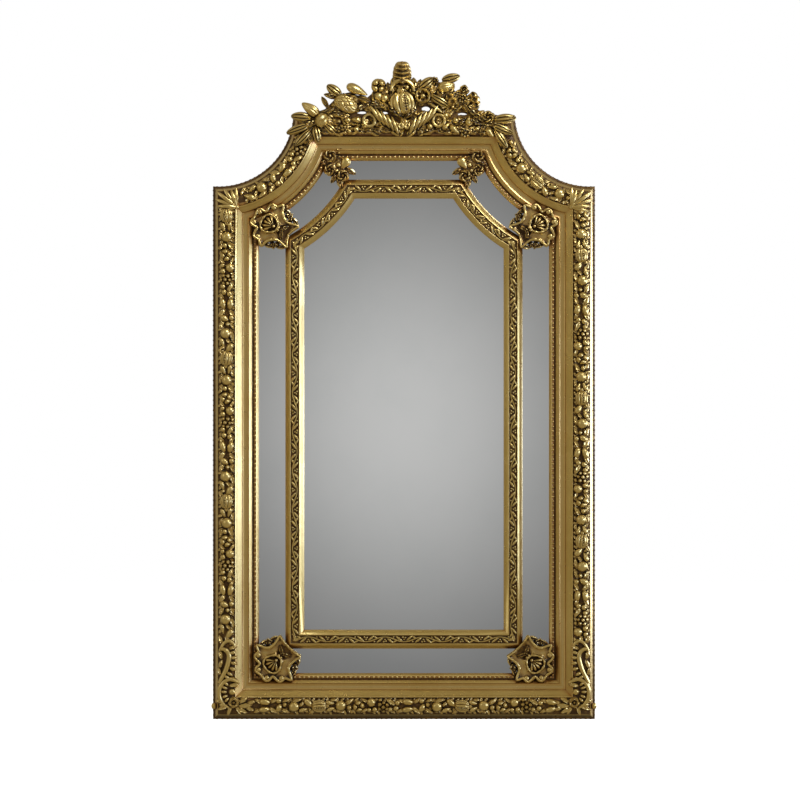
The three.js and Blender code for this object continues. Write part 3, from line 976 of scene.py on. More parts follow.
@dataclass
class OuterFrame:
    """The broad carved frame: moulding, beads, fruit garland and the carving at its corners."""

    outline: Outline = Outline(half=500, foot=0, top=1581, radius=195)
    bed_inset: float = 38.0
    bed_half: float = 20.0
    bed_depth: float = 47.0
    bed_drop: float = 5.0
    sink: float = 4.0
    repeat: float = 373.0
    swell: float = 1.15
    sway: float = 5.0
    under_step: float = 12.5
    under_across: float = 13.5
    under_turn: float = 48.0
    under_size: tuple[float, float, float] = (10.5, 5.6, 10.5)
    # Painted shade: the outer beads at the back of the edge take the dark coat.
    outer_beads: BeadRow = BeadRow(inset=5.2, depth=13.5, radius=5.2, pitch=13.0, coat=Coat.SHADED_GROUND)
    sight_beads: BeadRow = BeadRow(inset=111.0, depth=22.0, radius=3.7, pitch=12.2)
    # Painted shade: the dark coat on the outer edge, on the bed under the garland and in the groove by the
    # sight beads, partly a real dark glazing.
    shade_strips: tuple[tuple[float, float], ...] = ((0, 7.2), (14.6, 52.6), (104.8, 109.0))
    runs: tuple[GarlandRun, ...] = (
        GarlandRun(0, 509, 116, 884),
        GarlandRun(1, 324, 216, 1330),
        GarlandRun(2, 20, 56, 300),
        GarlandRun(4, 160, 50, 296),
        GarlandRun(5, 309, 58, 1172),
    )
    section: tuple[tuple[float, float], ...] = (
        (2.5, 0), (2.5, 7), (1.2, 10), (0.8, 13), (1.4, 16), (6.8, 19.5), (9.0, 28), (11.5, 36), (14.6, 42),
        (18, 41.5), (26, 45.6), (38, 47), (50, 45.6), (52.6, 44.4), (57.4, 44.4), (58.4, 47.8), (59.6, 49.8),
        (60.4, 49.3), (64.2, 45.9), (64.8, 44.9), (65.6, 44.1), (77, 34), (77.9, 32.8), (79, 28.9),
        (88, 27.2), (94.4, 28), (95.4, 31), (96.2, 30.4), (102.8, 24.6), (103.8, 23.2), (104.6, 18.5),
        (107.5, 19.0), (112, 19.0), (113.2, 20), (121, 12.5), (121, 9.2), (108, 9.2), (108, 0),
    )

    def form(self) -> Form:
        """Builds the moulding and its beads.

        Returns:
            The frame without its carving.
        """
        return Form.joined([
            Moulding(self.outline, self.section, self.shade_strips).form(),
            self.outer_beads.form(self.outline),
            self.sight_beads.form(self.outline),
        ])

    def carving(self, library: MotifLibrary) -> Form:
        """Builds the leaves under the garland and the carving at the corners.

        Args:
            library: The carved forms.

        Returns:
            The carving as one form.
        """
        corners = Form.joined([*self._foot_scroll(library), *self._shoulder_spray(library)])
        return Form.joined([*self._under_leaves(library), corners, corners.mirrored()])

    def bed(self, across: float) -> float:
        """Depth of the rounded bed under the garland.

        Args:
            across: Distance from the middle of the bed.

        Returns:
            The depth.
        """
        return self.bed_depth - self.bed_drop * (across / self.bed_half) ** 2

    def garland(self, library: MotifLibrary) -> Form:
        """Repeats the fruit garland along each run that carries it.

        Args:
            library: The carved forms.

        Returns:
            The garland as one form.
        """
        paths = self.outline.runs(self.bed_inset)
        placed = []
        for run in self.runs:
            walk = Walk(paths[run.run])
            start = math.floor((run.first - run.phase) / self.repeat)
            stop = math.ceil((run.last - run.phase) / self.repeat)
            for repeat in range(start, stop + 1):
                for order, spot in enumerate(GARLAND_REPEAT):
                    along = run.phase + repeat * self.repeat + spot.x
                    if not run.first <= along <= run.last:
                        continue
                    point, heading = walk.at(np.array(along - self.bed_inset), np.array(spot.y))
                    place = (*point, self.bed(spot.y) - self.sink)
                    size = (spot.long, spot.wide, self.swell * spot.high + self.sink)
                    sway = self.sway * math.sin(2.4 * order + 1.7 * repeat)
                    turn = math.degrees(heading) + spot.turn + sway
                    placed.append(library.put(spot.motif, place, size, turn))
        return Form.joined(placed)

    def _under_leaves(self, library: MotifLibrary) -> list[Form]:
        """The lower layer of the garland: leaves that point outwards along both edges of the bed.

        Args:
            library: The carved forms.

        Returns:
            The placed leaves.
        """
        paths = self.outline.runs(self.bed_inset)
        placed = []
        for run in self.runs:
            walk = Walk(paths[run.run])
            count = int((run.last - run.first) / self.under_step)
            for order in range(count):
                along = run.first + (order + 0.5) * self.under_step - self.bed_inset
                for side in (-1, 1):
                    shift = self.under_step * 0.25 * side
                    across = side * (self.under_across + 1.5 * math.sin(1.9 * order + side))
                    point, heading = walk.at(np.array(along + shift), np.array(across))
                    lean = self.under_turn + 22 * math.sin(2.7 * order + 2 * side)
                    turn = math.degrees(heading) + side * lean
                    place = (*point, self.bed(across) - self.sink)
                    placed.append(library.put(Motif.LEAF, place, self.under_size, turn))
        return placed

    def _foot_scroll(self, library: MotifLibrary) -> list[Form]:
        """The carving at the left foot corner: an S scroll with leaflets, a C scroll with fingers and a rose.

        Args:
            library: The carved forms.

        Returns:
            The placed forms.
        """
        ground = self.bed_depth - 1.0
        arch = ((-441, 193), (-447, 202), (-458, 207), (-470, 200), (-481, 181))
        stem = ((-478, 186), (-466, 184), (-457, 172), (-457, 156), (-464, 133), (-474, 112), (-482, 96))
        cradle = (
            (-430, 97), (-440, 103), (-455, 107), (-471, 99), (-481, 81), (-480, 58), (-469, 40), (-456, 33),
        )
        placed = [
            ribbon(arch, ground + 5, 5.0),
            ribbon(stem, ground + 6, 7.0),
            ribbon(cradle, ground + 5, 6.0),
            library.put(Motif.ROSE, (-444, 46, ground - 3), (16, 16, 18), 20),
            library.put(Motif.BERRY, (-448, 74, ground - 2), (9.5, 9.5, 14), 0),
            library.put(Motif.BERRY, (-474, 40, ground), (7, 7, 11), 0),
        ]
        fingers = ((-464, 95, -40), (-468, 85, -22), (-470, 74, 0), (-467, 62, 24), (-462, 53, 44))
        placed += [
            library.put(Motif.REED, (x, y, ground - 2), (9, 4.6, 13), turn) for x, y, turn in fingers
        ]
        leaflets = (
            (-447, 176, 20), (-445, 163, 6), (-444, 149, -6),
            (-447, 134, -16), (-455, 121, -28), (-462, 112, -36),
        )
        placed += [
            library.put(Motif.REED, (x, y, ground - 2), (10, 5.4, 13), turn) for x, y, turn in leaflets
        ]
        leaves = (
            (-478, 146, 13, 6, 250), (-481, 126, 12, 6, 285), (-470, 34, 17, 8, 205), (-455, 26, 15, 7, 250),
            (-432, 27, 14, 7, 300), (-480, 50, 12, 8, 170), (-414, 38, 20, 9, 8), (-402, 30, 14, 7, -20),
            (-398, 47, 14, 7, 18), (-476, 98, 13, 6, 60), (-420, 52, 15, 8, 30), (-422, 26, 15, 8, -30),
            (-442, 92, 14, 8, 10), (-447, 108, 13, 7, -12), (-478, 172, 13, 7, 100), (-446, 190, 12, 7, 20),
            (-448, 206, 12, 7, 60), (-478, 210, 12, 7, 110), (-462, 212, 13, 7, 85),
        )
        placed += [
            library.put(Motif.LEAF, (x, y, ground - 4), (long, wide, 13), turn)
            for x, y, long, wide, turn in leaves
        ]
        clasp = library.put(Motif.BERRY, (-496, 36, 24), (7, 9, 14), 0)
        return [*placed, clasp]

    def _shoulder_spray(self, library: MotifLibrary) -> list[Form]:
        """The reeded leaf over the left shoulder's mitre: narrow blades that open from its inner corner.

        Args:
            library: The carved forms.

        Returns:
            The placed blades.
        """
        hub = np.array([-436.0, 1338.0])
        placed = []
        blades = ((92, 48), (108, 45), (126, 54), (143, 60), (160, 55), (177, 47), (194, 46))
        for order, (degrees, reach) in enumerate(blades):
            angle = math.radians(degrees)
            middle = hub + 0.54 * reach * np.array([math.cos(angle), math.sin(angle)])
            place = (*middle, self.bed_depth - 5.0)
            size = (0.54 * reach, 7.0, 15.0 + 3.0 * (order % 2))
            placed.append(library.put(Motif.REED, place, size, degrees))
        placed.append(library.put(Motif.BERRY, (*hub, self.bed_depth - 2), (6, 6, 8), 0))
        return placed


@dataclass
class SlipFrame:
    """The slim inner moulding with a running vine on its flat."""

    outline: Outline = Outline(half=310, foot=185, top=1411, radius=373.5)
    band_inset: float = 24.7
    band_depth: float = 22.4
    wave: float = 103.0
    swing: float = 6.2
    stem: float = 2.4
    clear: float = 10.0
    # Painted shade: the dark coat on the flat under the vine.
    shade_strips: tuple[tuple[float, float], ...] = ((15.0, 34.4),)
    section: tuple[tuple[float, float], ...] = (
        (0, 9.2), (0, 13), (12.8, 25.5), (14.2, 25.5), (15, 22.4), (34.4, 22.4), (35.4, 25.5), (36.8, 25.5),
        (49.5, 13), (49.5, 9.2), (38, 9.2), (38, 4.9), (10, 4.9), (10, 9.2),
    )

    def form(self, library: MotifLibrary) -> Form:
        """Builds the slip.

        Args:
            library: The carved forms.

        Returns:
            The slip as one form.
        """
        moulding = Moulding(self.outline, self.section, self.shade_strips, ease=0.4)
        placed = [moulding.form()]
        for run in self.outline.runs(self.band_inset):
            placed += self._vine(Walk(run), library)
        return Form.joined(placed)

    def _vine(self, walk: Walk, library: MotifLibrary) -> list[Form]:
        """One run of the vine: a stem that swings as a sine, with curled leaves and berries in its hollows.

        Args:
            walk: The run.
            library: The carved forms.

        Returns:
            The stem, leaves and berries.
        """
        length = walk.length - 2 * self.clear
        halves = max(2, round(2 * length / self.wave))
        count = 10 * halves + 1
        share = np.linspace(0, 1, count)
        across = self.swing * np.sin(np.pi * halves * share)
        points, _ = walk.at(self.clear + share * length, across)
        path = np.column_stack([points, np.full(count, self.band_depth + 1.4)])
        swelling = 0.75 + 0.45 * np.abs(np.cos(np.pi * halves * share))
        placed = [tube(path, self.stem * swelling, cols=7, flat=1.3)]
        for distance, turn in ((5.0, 16.0), (walk.length - 5.0, 196.0)):
            point, heading = walk.at(np.array(distance))
            place = (*point, self.band_depth - 0.8)
            placed.append(library.put(Motif.LEAF, place, (11.0, 5.0, 5.6), math.degrees(heading) + turn))
        step = length / halves
        for half in range(halves):
            side = 1.0 if half % 2 == 0 else -1.0
            middle = self.clear + (half + 0.5) * step
            details = (
                (Motif.REED, -13.0, -0.3, 11.0, 3.4, 6.4, 38.0),
                (Motif.REED, 14.5, -0.55, 10.0, 3.4, 6.4, -40.0),
                (Motif.REED, -23.0, 0.75, 8.5, 2.8, 5.6, -30.0),
                (Motif.BERRY, -3.0, -0.95, 3.0, 3.0, 5.4, 0.0),
                (Motif.BERRY, 3.2, -0.75, 2.8, 2.8, 5.2, 0.0),
                (Motif.BERRY, 0.4, -0.05, 2.7, 2.7, 5.0, 0.0),
                (Motif.BERRY, 22.5, 0.95, 2.6, 2.6, 5.0, 0.0),
            )
            for motif, along, swing, long, wide, high, turn in details:
                point, heading = walk.at(np.array(middle + along), np.array(side * swing * self.swing))
                angle = math.degrees(heading) + side * turn
                placed.append(library.put(motif, (*point, self.band_depth - 0.8), (long, wide, high), angle))
        return placed


CREST_SPOTS = (
    Spot(Motif.FERN, -5, 97, 40, 25, 76, 90),
    Spot(Motif.POMEGRANATE, -4.5, 27, 32, 34, 89, 98),
    Spot(Motif.LEAF, -22, 3, 27, 9, 84, -33),
    Spot(Motif.LEAF, 17, 0, 22, 9, 80, 215),
    Spot(Motif.LEAF, -36, 38, 20, 9, 72, 100),
    Spot(Motif.LEAF, 29, 30, 20, 9, 72, 75),
    Spot(Motif.CITRUS, 49, 46, 20, 20, 78),
    Spot(Motif.PALM, 58, 78, 25, 14, 76, 38),
    Spot(Motif.LEAF, 38, 74, 17, 8, 70, 70),
    Spot(Motif.DAISY, 80, 86, 11, 11, 76),
    Spot(Motif.FIG, 110, 71, 23, 17, 84, 14),
    Spot(Motif.PALM, 122, 92, 25, 13, 74, 14),
    Spot(Motif.LEAF, 92, 64, 15, 8, 72, 215),
    Spot(Motif.PALM, 94, 32, 31, 13, 79, -30),
    Spot(Motif.REED, 84, 14, 24, 6, 75, -36),
    Spot(Motif.OAK, 126, 32, 24, 18, 78, -55),
    Spot(Motif.LEAF, 134, 50, 15, 8, 72, 30),
    Spot(Motif.ROSE, 156, 64, 12, 11, 74, 60),
    Spot(Motif.DAISY, 153.5, 40, 13, 13, 76),
    Spot(Motif.OAK, 184, 37, 22, 14, 74, 108),
    Spot(Motif.STRAP, 160, 15, 19, 8, 72, -52),
    Spot(Motif.LEAF, 178, 4, 22, 8, 74, -48),
    Spot(Motif.LEAF, 202, -14, 20, 8, 73, -42),
    Spot(Motif.ROSE, 219, -9, 19, 17, 78),
    Spot(Motif.PALM, 262, -14, 31, 14, 76, 6),
    Spot(Motif.PALM, 256, -40, 31, 12, 75, -24),
    Spot(Motif.PALM, 252, -64, 30, 12, 72, -56),
    Spot(Motif.LEAF, 236, -30, 18, 9, 72, -20),
    Spot(Motif.ACORN, 224, -50, 16, 11, 80, -50),
    Spot(Motif.LEAF, 205, -44, 16, 9, 71, -100),
    Spot(Motif.BERRY, 191, -40, 7, 7, 72),
    Spot(Motif.LEAF, 190, -24, 15, 7, 72, -25),
    Spot(Motif.BERRY, 109, -5, 9, 9, 77),
    Spot(Motif.ACORN, 110, -33, 14, 10, 80, 40),
    Spot(Motif.BERRY, 68, -34, 9, 9, 76),
    Spot(Motif.ACORN, 132, -42, 17, 11, 80, -40),
    Spot(Motif.DAISY, 160, -50, 15, 15, 78),
    Spot(Motif.BERRY, 135, -18, 9, 9, 75),
    Spot(Motif.STRAP, 150, -24, 14, 6, 72, 35),
    Spot(Motif.ACORN, 168, -19, 14, 10, 80, 80),
    Spot(Motif.BERRY, -146, -17, 9, 9, 77),
    Spot(Motif.ACORN, -124, -16, 14, 11, 82, 170),
    Spot(Motif.BERRY, -124, -41, 9, 9, 76),
    Spot(Motif.BERRY, -142, -46, 7, 7, 74),
    Spot(Motif.BERRY, -170, -20, 6, 6, 74),
    Spot(Motif.DAISY, -160, -42, 17, 15, 78),
    Spot(Motif.LEAF, -178, -40, 14, 8, 73, 170),
    Spot(Motif.PALM, -192, -40, 21, 13, 75, -40),
    Spot(Motif.PLUM, -214, -17, 20, 19, 86, 45),
    Spot(Motif.FIG, -244, 12, 27, 17, 82, 145),
    Spot(Motif.PINEAPPLE, -151, 25, 33, 22, 84, -30),
    Spot(Motif.PALM, -182, 60, 24, 14, 75, 142),
    Spot(Motif.LEAF, -190, 46, 20, 8, 72, 165),
    Spot(Motif.STRAP, -205, 28, 19, 7, 71, 120),
    Spot(Motif.STRAP, -194, 8, 19, 7, 73, 25),
    Spot(Motif.LEAF, -170, 0, 17, 8, 72, -10),
    Spot(Motif.PEAR, -122, 61, 30, 16, 84, -25),
    Spot(Motif.STRAP, -104, 36, 20, 9, 75, -20),
    Spot(Motif.LEAF, -112, 16, 20, 8, 72, 12),
    Spot(Motif.BERRY, -66, 45, 12, 12, 79),
    Spot(Motif.BERRY, -50, 40, 12, 12, 80),
    Spot(Motif.QUARTERED, -66, 72, 20, 20, 78, 40),
    Spot(Motif.LEAF, -40, 66, 16, 8, 72, 100),
    Spot(Motif.LEAF, -72, 20, 19, 8, 73, -30),
    Spot(Motif.PALM, -268, -8, 27, 13, 76, 176),
    Spot(Motif.PALM, -276, -40, 33, 12, 75, 200),
    Spot(Motif.PALM, -262, -62, 29, 12, 72, 226),
    Spot(Motif.LEAF, -246, -28, 20, 10, 73, 200),
    Spot(Motif.PALM, -227, -53, 23, 13, 75, 280),
    Spot(Motif.LEAF, -244, -66, 18, 8, 69, 240),
)


@dataclass
class Crest:
    """The pierced group of fruit and leaves on the top rail."""

    top: float = 1581.0
    back: float = 24.0
    rail_back: float = 45.0
    ground: float = 57.0
    base: float = 52.0
    rail_line: float = -6.0
    outline: tuple[tuple[float, float], ...] = (
        (-258, -46), (-262, -18), (-236, 2), (-206, 12), (-186, 32), (-170, 50), (-142, 56), (-116, 46),
        (-96, 42), (-78, 58), (-52, 62), (-38, 66), (-26, 86), (15, 86), (30, 70), (52, 80), (84, 84),
        (118, 78), (134, 58), (158, 56), (178, 34), (194, 10), (222, -4), (254, -10), (254, -46),
        (190, -50), (0, -45), (-190, -50),
    )
    holes: tuple[tuple[float, float, float, float], ...] = (
        (-109.7, 3.4, 13, 4), (-51, 2.4, 9, 4), (57, 13, 11, 7), (152, -1, 12, 4.5),
    )
    flutes: int = 5
    fill_step: float = 25.0
    foot_start: float = 46.0
    foot_end: float = 230.0
    foot_step: float = 23.0

    def form(self, library: MotifLibrary) -> Form:
        """Builds the crest.

        Args:
            library: The carved forms.

        Returns:
            The crest as one form.
        """
        placed = [self._ground()]
        for order, spot in enumerate(CREST_SPOTS):
            place = (spot.x, self.top + spot.y, self.base)
            size = (spot.long, spot.wide, spot.high - self.base)
            tip = 7.0 * math.sin(2.1 * order) if spot.motif in (Motif.LEAF, Motif.STRAP) else 0.0
            placed.append(library.put(spot.motif, place, size, spot.turn, tip))
        half = Form.joined(self._fluted_leaf(library))
        return Form.joined([*placed, *self._fill(library), *self._hood(library), half, half.mirrored()])

    def _ground(self) -> Form:
        """The pierced ground behind the fruit.

        Returns:
            The closed form.
        """
        lift = np.array([0.0, self.top])
        outline = np.array(self.outline, dtype=float)
        turn = np.linspace(0, 2 * np.pi, 15)[:-1]
        ring = np.stack([np.cos(turn), np.sin(turn)], axis=-1)
        holes = [ring * (long, wide) + (x, y) + lift for x, y, long, wide in self.holes]
        upper = outline[outline[:, 1] > self.rail_line]
        first, last = upper[0] * (1.0, 0.0), upper[-1] * (1.0, 0.0)
        upper = np.concatenate([[first + (0.0, self.rail_line)], upper, [last + (0.0, self.rail_line)]])
        # Painted shade: both slabs of the ground behind the fruit take the dark coat.
        return Form.joined([
            slab(outline + lift, holes, self.rail_back, self.ground, Coat.SHADED_GROUND),
            slab(upper + lift, holes, self.back, self.ground - 1.0, Coat.SHADED_GROUND),
        ])

    def _fluted_leaf(self, library: MotifLibrary) -> list[Form]:
        """The right half of the fluted leaf at the middle of the crest, with its volute and ring.

        Args:
            library: The carved forms.

        Returns:
            The placed forms.
        """
        share = np.linspace(0, 1, self.flutes)
        placed = []
        for part in share:
            place = (24 + 50 * part, self.top - 30 + 29 * part, self.base + 8)
            size = (25 + 2 * part, 6.2, 26 - 4 * part)
            placed.append(library.put(Motif.REED, place, size, 68 - 12 * part, tip=5))
        eye = Scroll(length=46, start=9, middle=10, end=15, thick=3.8, taper=0.5).form()
        ring = Scroll(length=96, start=3.75, middle=3.75, end=3.9, thick=4.4, taper=0.8, knobs=0.6).form()
        placed.append(eye.put((9, self.top - 38, self.base + 22)))
        placed.append(ring.put((92, self.top - 33, self.base + 16)))
        return placed

    def _fill(self, library: MotifLibrary) -> list[Form]:
        """The lower layer of leaves over the whole ground, opening out from the foot of the middle fruit.

        Args:
            library: The carved forms.

        Returns:
            The placed leaves.
        """
        outline = np.array(self.outline, dtype=float)
        low, high = outline.min(axis=0), outline.max(axis=0)
        rows = np.arange(low[1] + 8, high[1], 0.8 * self.fill_step)
        cols = np.arange(low[0] + 8, high[0], self.fill_step)
        x, y = (part.ravel() for part in np.meshgrid(cols, rows))
        order = np.arange(len(x))
        x = x + 5.0 * np.sin(2.3 * order)
        y = y + 4.0 * np.sin(3.1 * order + 1.0)
        start, end = outline, np.roll(outline, -1, axis=0)
        above = (start[:, 1] > y[:, None]) != (end[:, 1] > y[:, None])
        rise = np.where(end[:, 1] == start[:, 1], 1.0, end[:, 1] - start[:, 1])
        cross = start[:, 0] + (y[:, None] - start[:, 1]) * (end[:, 0] - start[:, 0]) / rise
        inside = (above & (x[:, None] < cross)).sum(axis=1) % 2 == 1
        for hole_x, hole_y, long, wide in self.holes:
            inside &= np.hypot((x - hole_x) / (long + 9), (y - hole_y) / (wide + 9)) > 1
        turn = np.degrees(np.arctan2(y + 70, x)) + 26 * np.sin(1.7 * order)
        placed = []
        for spot in order[inside]:
            place = (x[spot], self.top + y[spot], self.base)
            placed.append(library.put(Motif.LEAF, place, (21, 11, 13 + 2 * (spot % 3)), turn[spot]))
        for spot, foot_x in enumerate(np.arange(self.foot_start, self.foot_end, self.foot_step)):
            lean = 24 * math.sin(2.2 * spot)
            size = (15, 8, 19 + 2 * (spot % 2))
            half = library.put(Motif.LEAF, (foot_x, self.top - 43 - 0.02 * foot_x, self.base), size, lean)
            placed += [half, half.mirrored()]
        return placed

    def _hood(self, library: MotifLibrary) -> list[Form]:
        """The hood between the fruit and the finial leaf, with two berries under it.

        Args:
            library: The carved forms.

        Returns:
            The placed forms.
        """
        turn = np.linspace(math.radians(-8), math.radians(188), 19)
        lift = np.array([-3.5, self.top + 62, self.base + 20])
        path = np.stack([29 * np.cos(turn), 25 * np.sin(turn), np.zeros(19)], axis=-1) + lift
        berries = [
            library.put(Motif.BERRY, (x, self.top + 68, self.base + 12), (6, 6, 12), 0) for x in (-10.5, 8.0)
        ]
        return [tube(path, 4.6 + 1.6 * np.sin(turn), cols=9, flat=1.3), *berries]


@dataclass
class Cartouche:
    """A shell cartouche over a joint of the border plates.

    It is drawn about the middle of its shell, with its axis towards the slip along +x, and is alike on both
    sides of the axis. The edge of each side is given by bearing and reach: the arm with its hollow, from the
    slip to its far tip, then two ears with a notch between them, which lie on the frame.

    Attributes:
        middle: Where its middle goes, on the left side.
        axis: Bearing of its axis in degrees.
        arm: Bearing and reach of the arm's edge, from the slip to the arm's far tip.
    """

    middle: tuple[float, float]
    axis: float
    arm: tuple[tuple[float, float], ...]
    ears: tuple[tuple[float, float], ...] = (
        (93, 44), (100, 44), (108, 46), (114, 45), (120, 40), (127, 33), (134, 30), (141, 33), (148, 40),
        (155, 43), (163, 42), (171, 39), (180, 38),
    )
    floor: float = 9.6
    hollow: float = 17.5
    hollow_depth: float = 22.0
    rim_depth: float = 34.0
    cove_depth: float = 25.0
    edge_depth: float = 32.0
    shade_step: float = -1.4
    ear_bearing: float = 84.0
    roll_bearing: float = 56.0
    cols: int = 216
    scale: float = 1.17

    def form(self, library: MotifLibrary) -> Form:
        """Builds the cartouche for the left side.

        Args:
            library: The carved forms.

        Returns:
            The cartouche as one form, in place.
        """
        shell = Shell(flutes=5, spread=118).form()
        placed = [self._body(), self._rim(), self._eye()]
        placed.append(shell.put((11, 0, self.hollow_depth + 1), (26, 26, 17)))
        for bearing, reach in ((104, 38), (-104, 38), (158, 34.5), (-158, 34.5)):
            angle = math.radians(bearing)
            place = (reach * math.cos(angle), reach * math.sin(angle), self.cove_depth)
            placed.append(library.put(Motif.BERRY, place, (7.0, 7.0, 11), 0))
        details = (
            (Motif.BERRY, 11, 0, 5, 5, 38, 0),
            (Motif.BERRY, 23, 3.5, 4, 4, 37, 0),
            (Motif.BERRY, 23, -3.5, 4, 4, 37, 0),
            (Motif.LEAF, 35, 8, 12, 5, 36, 62),
            (Motif.LEAF, 35, -8, 12, 5, 36, -62),
            (Motif.LEAF, 30, 0, 8, 4, 35, 180),
        )
        placed += [
            library.put(motif, (x, y, self.hollow_depth), (long, wide, front - self.hollow_depth), turn)
            for motif, x, y, long, wide, front, turn in details
        ]
        for side in (-1, 1):
            placed += self._fringe(library, side)
        return Form.joined(placed).put((*self.middle, 0.0), (self.scale, self.scale, 1.0), self.axis)

    def reach(self, bearing: np.ndarray) -> np.ndarray:
        """Distance from the middle to the edge.

        Args:
            bearing: Bearings in degrees from the axis, up to 180 either way.

        Returns:
            Distances.
        """
        knots = np.array([*self.arm, *self.ears])
        return np.interp(np.abs(bearing), knots[:, 0], knots[:, 1])

    def _edge(self) -> tuple[np.ndarray, np.ndarray, np.ndarray]:
        """The edge all round, eased by a running mean, with a slight ruffle in its depth.

        Returns:
            Bearings in degrees, distances from the middle and depths.
        """
        bearing = np.linspace(-180, 180, self.cols, endpoint=False)
        edge = self.reach(np.linspace(-180, 180, 8 * self.cols, endpoint=False))
        spread = np.exp(-((np.arange(-20, 21) / 7.0) ** 2))
        around = np.concatenate([edge[-20:], edge, edge[:20]])
        smooth = np.convolve(around, spread / spread.sum(), mode="valid")[::8]
        ruffle = 0.9 * np.cos(np.radians(17 * bearing))
        return bearing, smooth, self.edge_depth - 7.0 * np.exp(-((bearing / 24.0) ** 2)) + ruffle

    def _rim(self) -> Form:
        """The thin bright rim along the edge.

        Returns:
            The closed form.
        """
        bearing, smooth, depth = self._edge()
        round_ears = 0.5 - 0.5 * np.tanh((self.ear_bearing - np.abs(bearing)) / 8.0)
        thick = 2.2 + 0.9 * round_ears + 1.7 * np.exp(-(((np.abs(bearing) - self.roll_bearing) / 22.0) ** 2))
        angle, reach = np.radians(bearing), smooth - 0.7 * thick
        path = np.stack([reach * np.cos(angle), reach * np.sin(angle), depth + 0.4], axis=-1)
        return tube(path, thick, cols=8, flat=1.2)

    def _eye(self) -> Form:
        """The egg-shaped rim about the shell, swelling nine times on its way round.

        Returns:
            The closed form.
        """
        angle = np.linspace(-math.pi, math.pi, self.cols, endpoint=False)
        reach = 2.2 + self.hollow * (1 + 0.06 * np.cos(3 * angle))
        depth = np.full(self.cols, self.rim_depth)
        path = np.stack([reach * np.cos(angle), reach * np.sin(angle), depth], axis=-1)
        return tube(path, 2.3 + 0.6 * np.cos(9 * angle), cols=8)

    def _body(self) -> Form:
        """The body: rings about the middle that rise over an egg rim, sink into a cove and rise to the edge.

        Inside the hollow a ring's radius is a share of the hollow's; outside it, a share of the way to the
        edge.

        Returns:
            The closed form.
        """
        bearing, smooth, crest = self._edge()
        angle = np.radians(bearing)
        egg = self.hollow * (1 + 0.06 * np.cos(3 * angle))
        inner = np.linspace(0.08, 0.86, 5)
        outer = np.array([0.0, 0.1, 0.2, 0.34, 0.5, 0.66, 0.78, 0.86, 0.92, 0.97, 1.0])
        cove = self.cove_depth - 4.0 * np.exp(-((bearing / 24.0) ** 2))
        inside = np.broadcast_to(self.hollow_depth + 2.0 * inner[:, None] ** 4, (5, self.cols))
        rise = np.exp(-(((outer - 0.02) / 0.13) ** 2))[:, None]
        lip = np.exp(-(((outer - 0.93) / 0.11) ** 2))[:, None]
        outside = cove + (self.rim_depth - cove) * rise + (crest - cove) * lip
        radius = np.concatenate([inner[:, None] * egg, egg + outer[:, None] * (smooth - egg)])
        depth = np.concatenate([inside, outside])
        wall = np.stack([smooth, 0.97 * smooth, 0.5 * smooth])
        foot = np.stack([crest - 6.0, np.full(self.cols, self.floor + 3), np.full(self.cols, self.floor)])
        radius, depth = np.concatenate([radius, wall]), np.concatenate([depth, foot])
        form = skin(np.stack([radius * np.cos(angle), radius * np.sin(angle), depth], axis=-1))
        # Painted shade: triangles deeper than the cove take the dark coat, down in the cove and on the body's
        # foot.
        middle = form.verts[form.tris][:, :, 2].mean(axis=1)
        coats = np.where(middle < self.cove_depth + self.shade_step, Coat.SHADED_GROUND.value, Coat.CARVED.value)
        return Form(form.verts, form.tris, coats)

    def _fringe(self, library: MotifLibrary, side: int) -> list[Form]:
        """The leaflets that line the hollow of one arm.

        Args:
            library: The carved forms.
            side: 1 or -1.

        Returns:
            The placed leaflets.
        """
        knots = np.radians(np.array(self.arm)[:, 0])
        reach = np.array(self.arm)[:, 1]
        edge = np.stack([reach * np.cos(knots), side * reach * np.sin(knots)], axis=-1)[2:]
        walk = Walk(edge)
        tips = edge[[0, -1]].mean(axis=0)
        placed = []
        for share in np.linspace(0.2, 0.86, 4):
            spot, _ = walk.at(np.array(share * walk.length))
            way = 1.25 * tips - 0.25 * walk.at(np.array(0.5 * walk.length))[0] - spot
            turn = math.degrees(math.atan2(way[1], way[0]))
            middle = spot + 9.0 * way / np.linalg.norm(way)
            placed.append(library.put(Motif.LEAF, (*middle, self.floor + 6), (11.0, 5.4, 13), turn, tip=6))
        return placed


@dataclass
class FlowerSpray:
    """A spray of flowers over a joint of the border plates at a top corner."""

    floor: float = 12.0
    spots: tuple[Spot, ...] = (
        Spot(Motif.LEAF, -174, 1447, 34, 19, 24, -50),
        Spot(Motif.ROSE, -193, 1473, 20, 20, 35, 10),
        Spot(Motif.ROSE, -194, 1437, 17, 17, 32, 40),
        Spot(Motif.PEAR, -155, 1453, 20, 16, 34, 240),
        Spot(Motif.ROSE, -160, 1421, 18, 18, 34, 20),
        Spot(Motif.LEAF, -172, 1485, 18, 9, 30, 25),
        Spot(Motif.LEAF, -170, 1466, 16, 9, 29, -20),
        Spot(Motif.LEAF, -167, 1402, 17, 9, 28, -70),
        Spot(Motif.LEAF, -140, 1433, 17, 8, 28, -30),
        Spot(Motif.LEAF, -208, 1455, 15, 8, 29, 200),
        Spot(Motif.LEAF, -183, 1415, 16, 8, 27, 240),
        Spot(Motif.BERRY, -176, 1434, 7, 7, 28),
        Spot(Motif.BERRY, -171, 1449, 8, 8, 30),
    )

    def form(self, library: MotifLibrary) -> Form:
        """Builds the spray for the left side.

        Args:
            library: The carved forms.

        Returns:
            The spray as one form.
        """
        placed = []
        for spot in self.spots:
            size = (spot.long, spot.wide, spot.high - self.floor)
            placed.append(library.put(spot.motif, (spot.x, spot.y, self.floor), size, spot.turn))
        return Form.joined(placed)


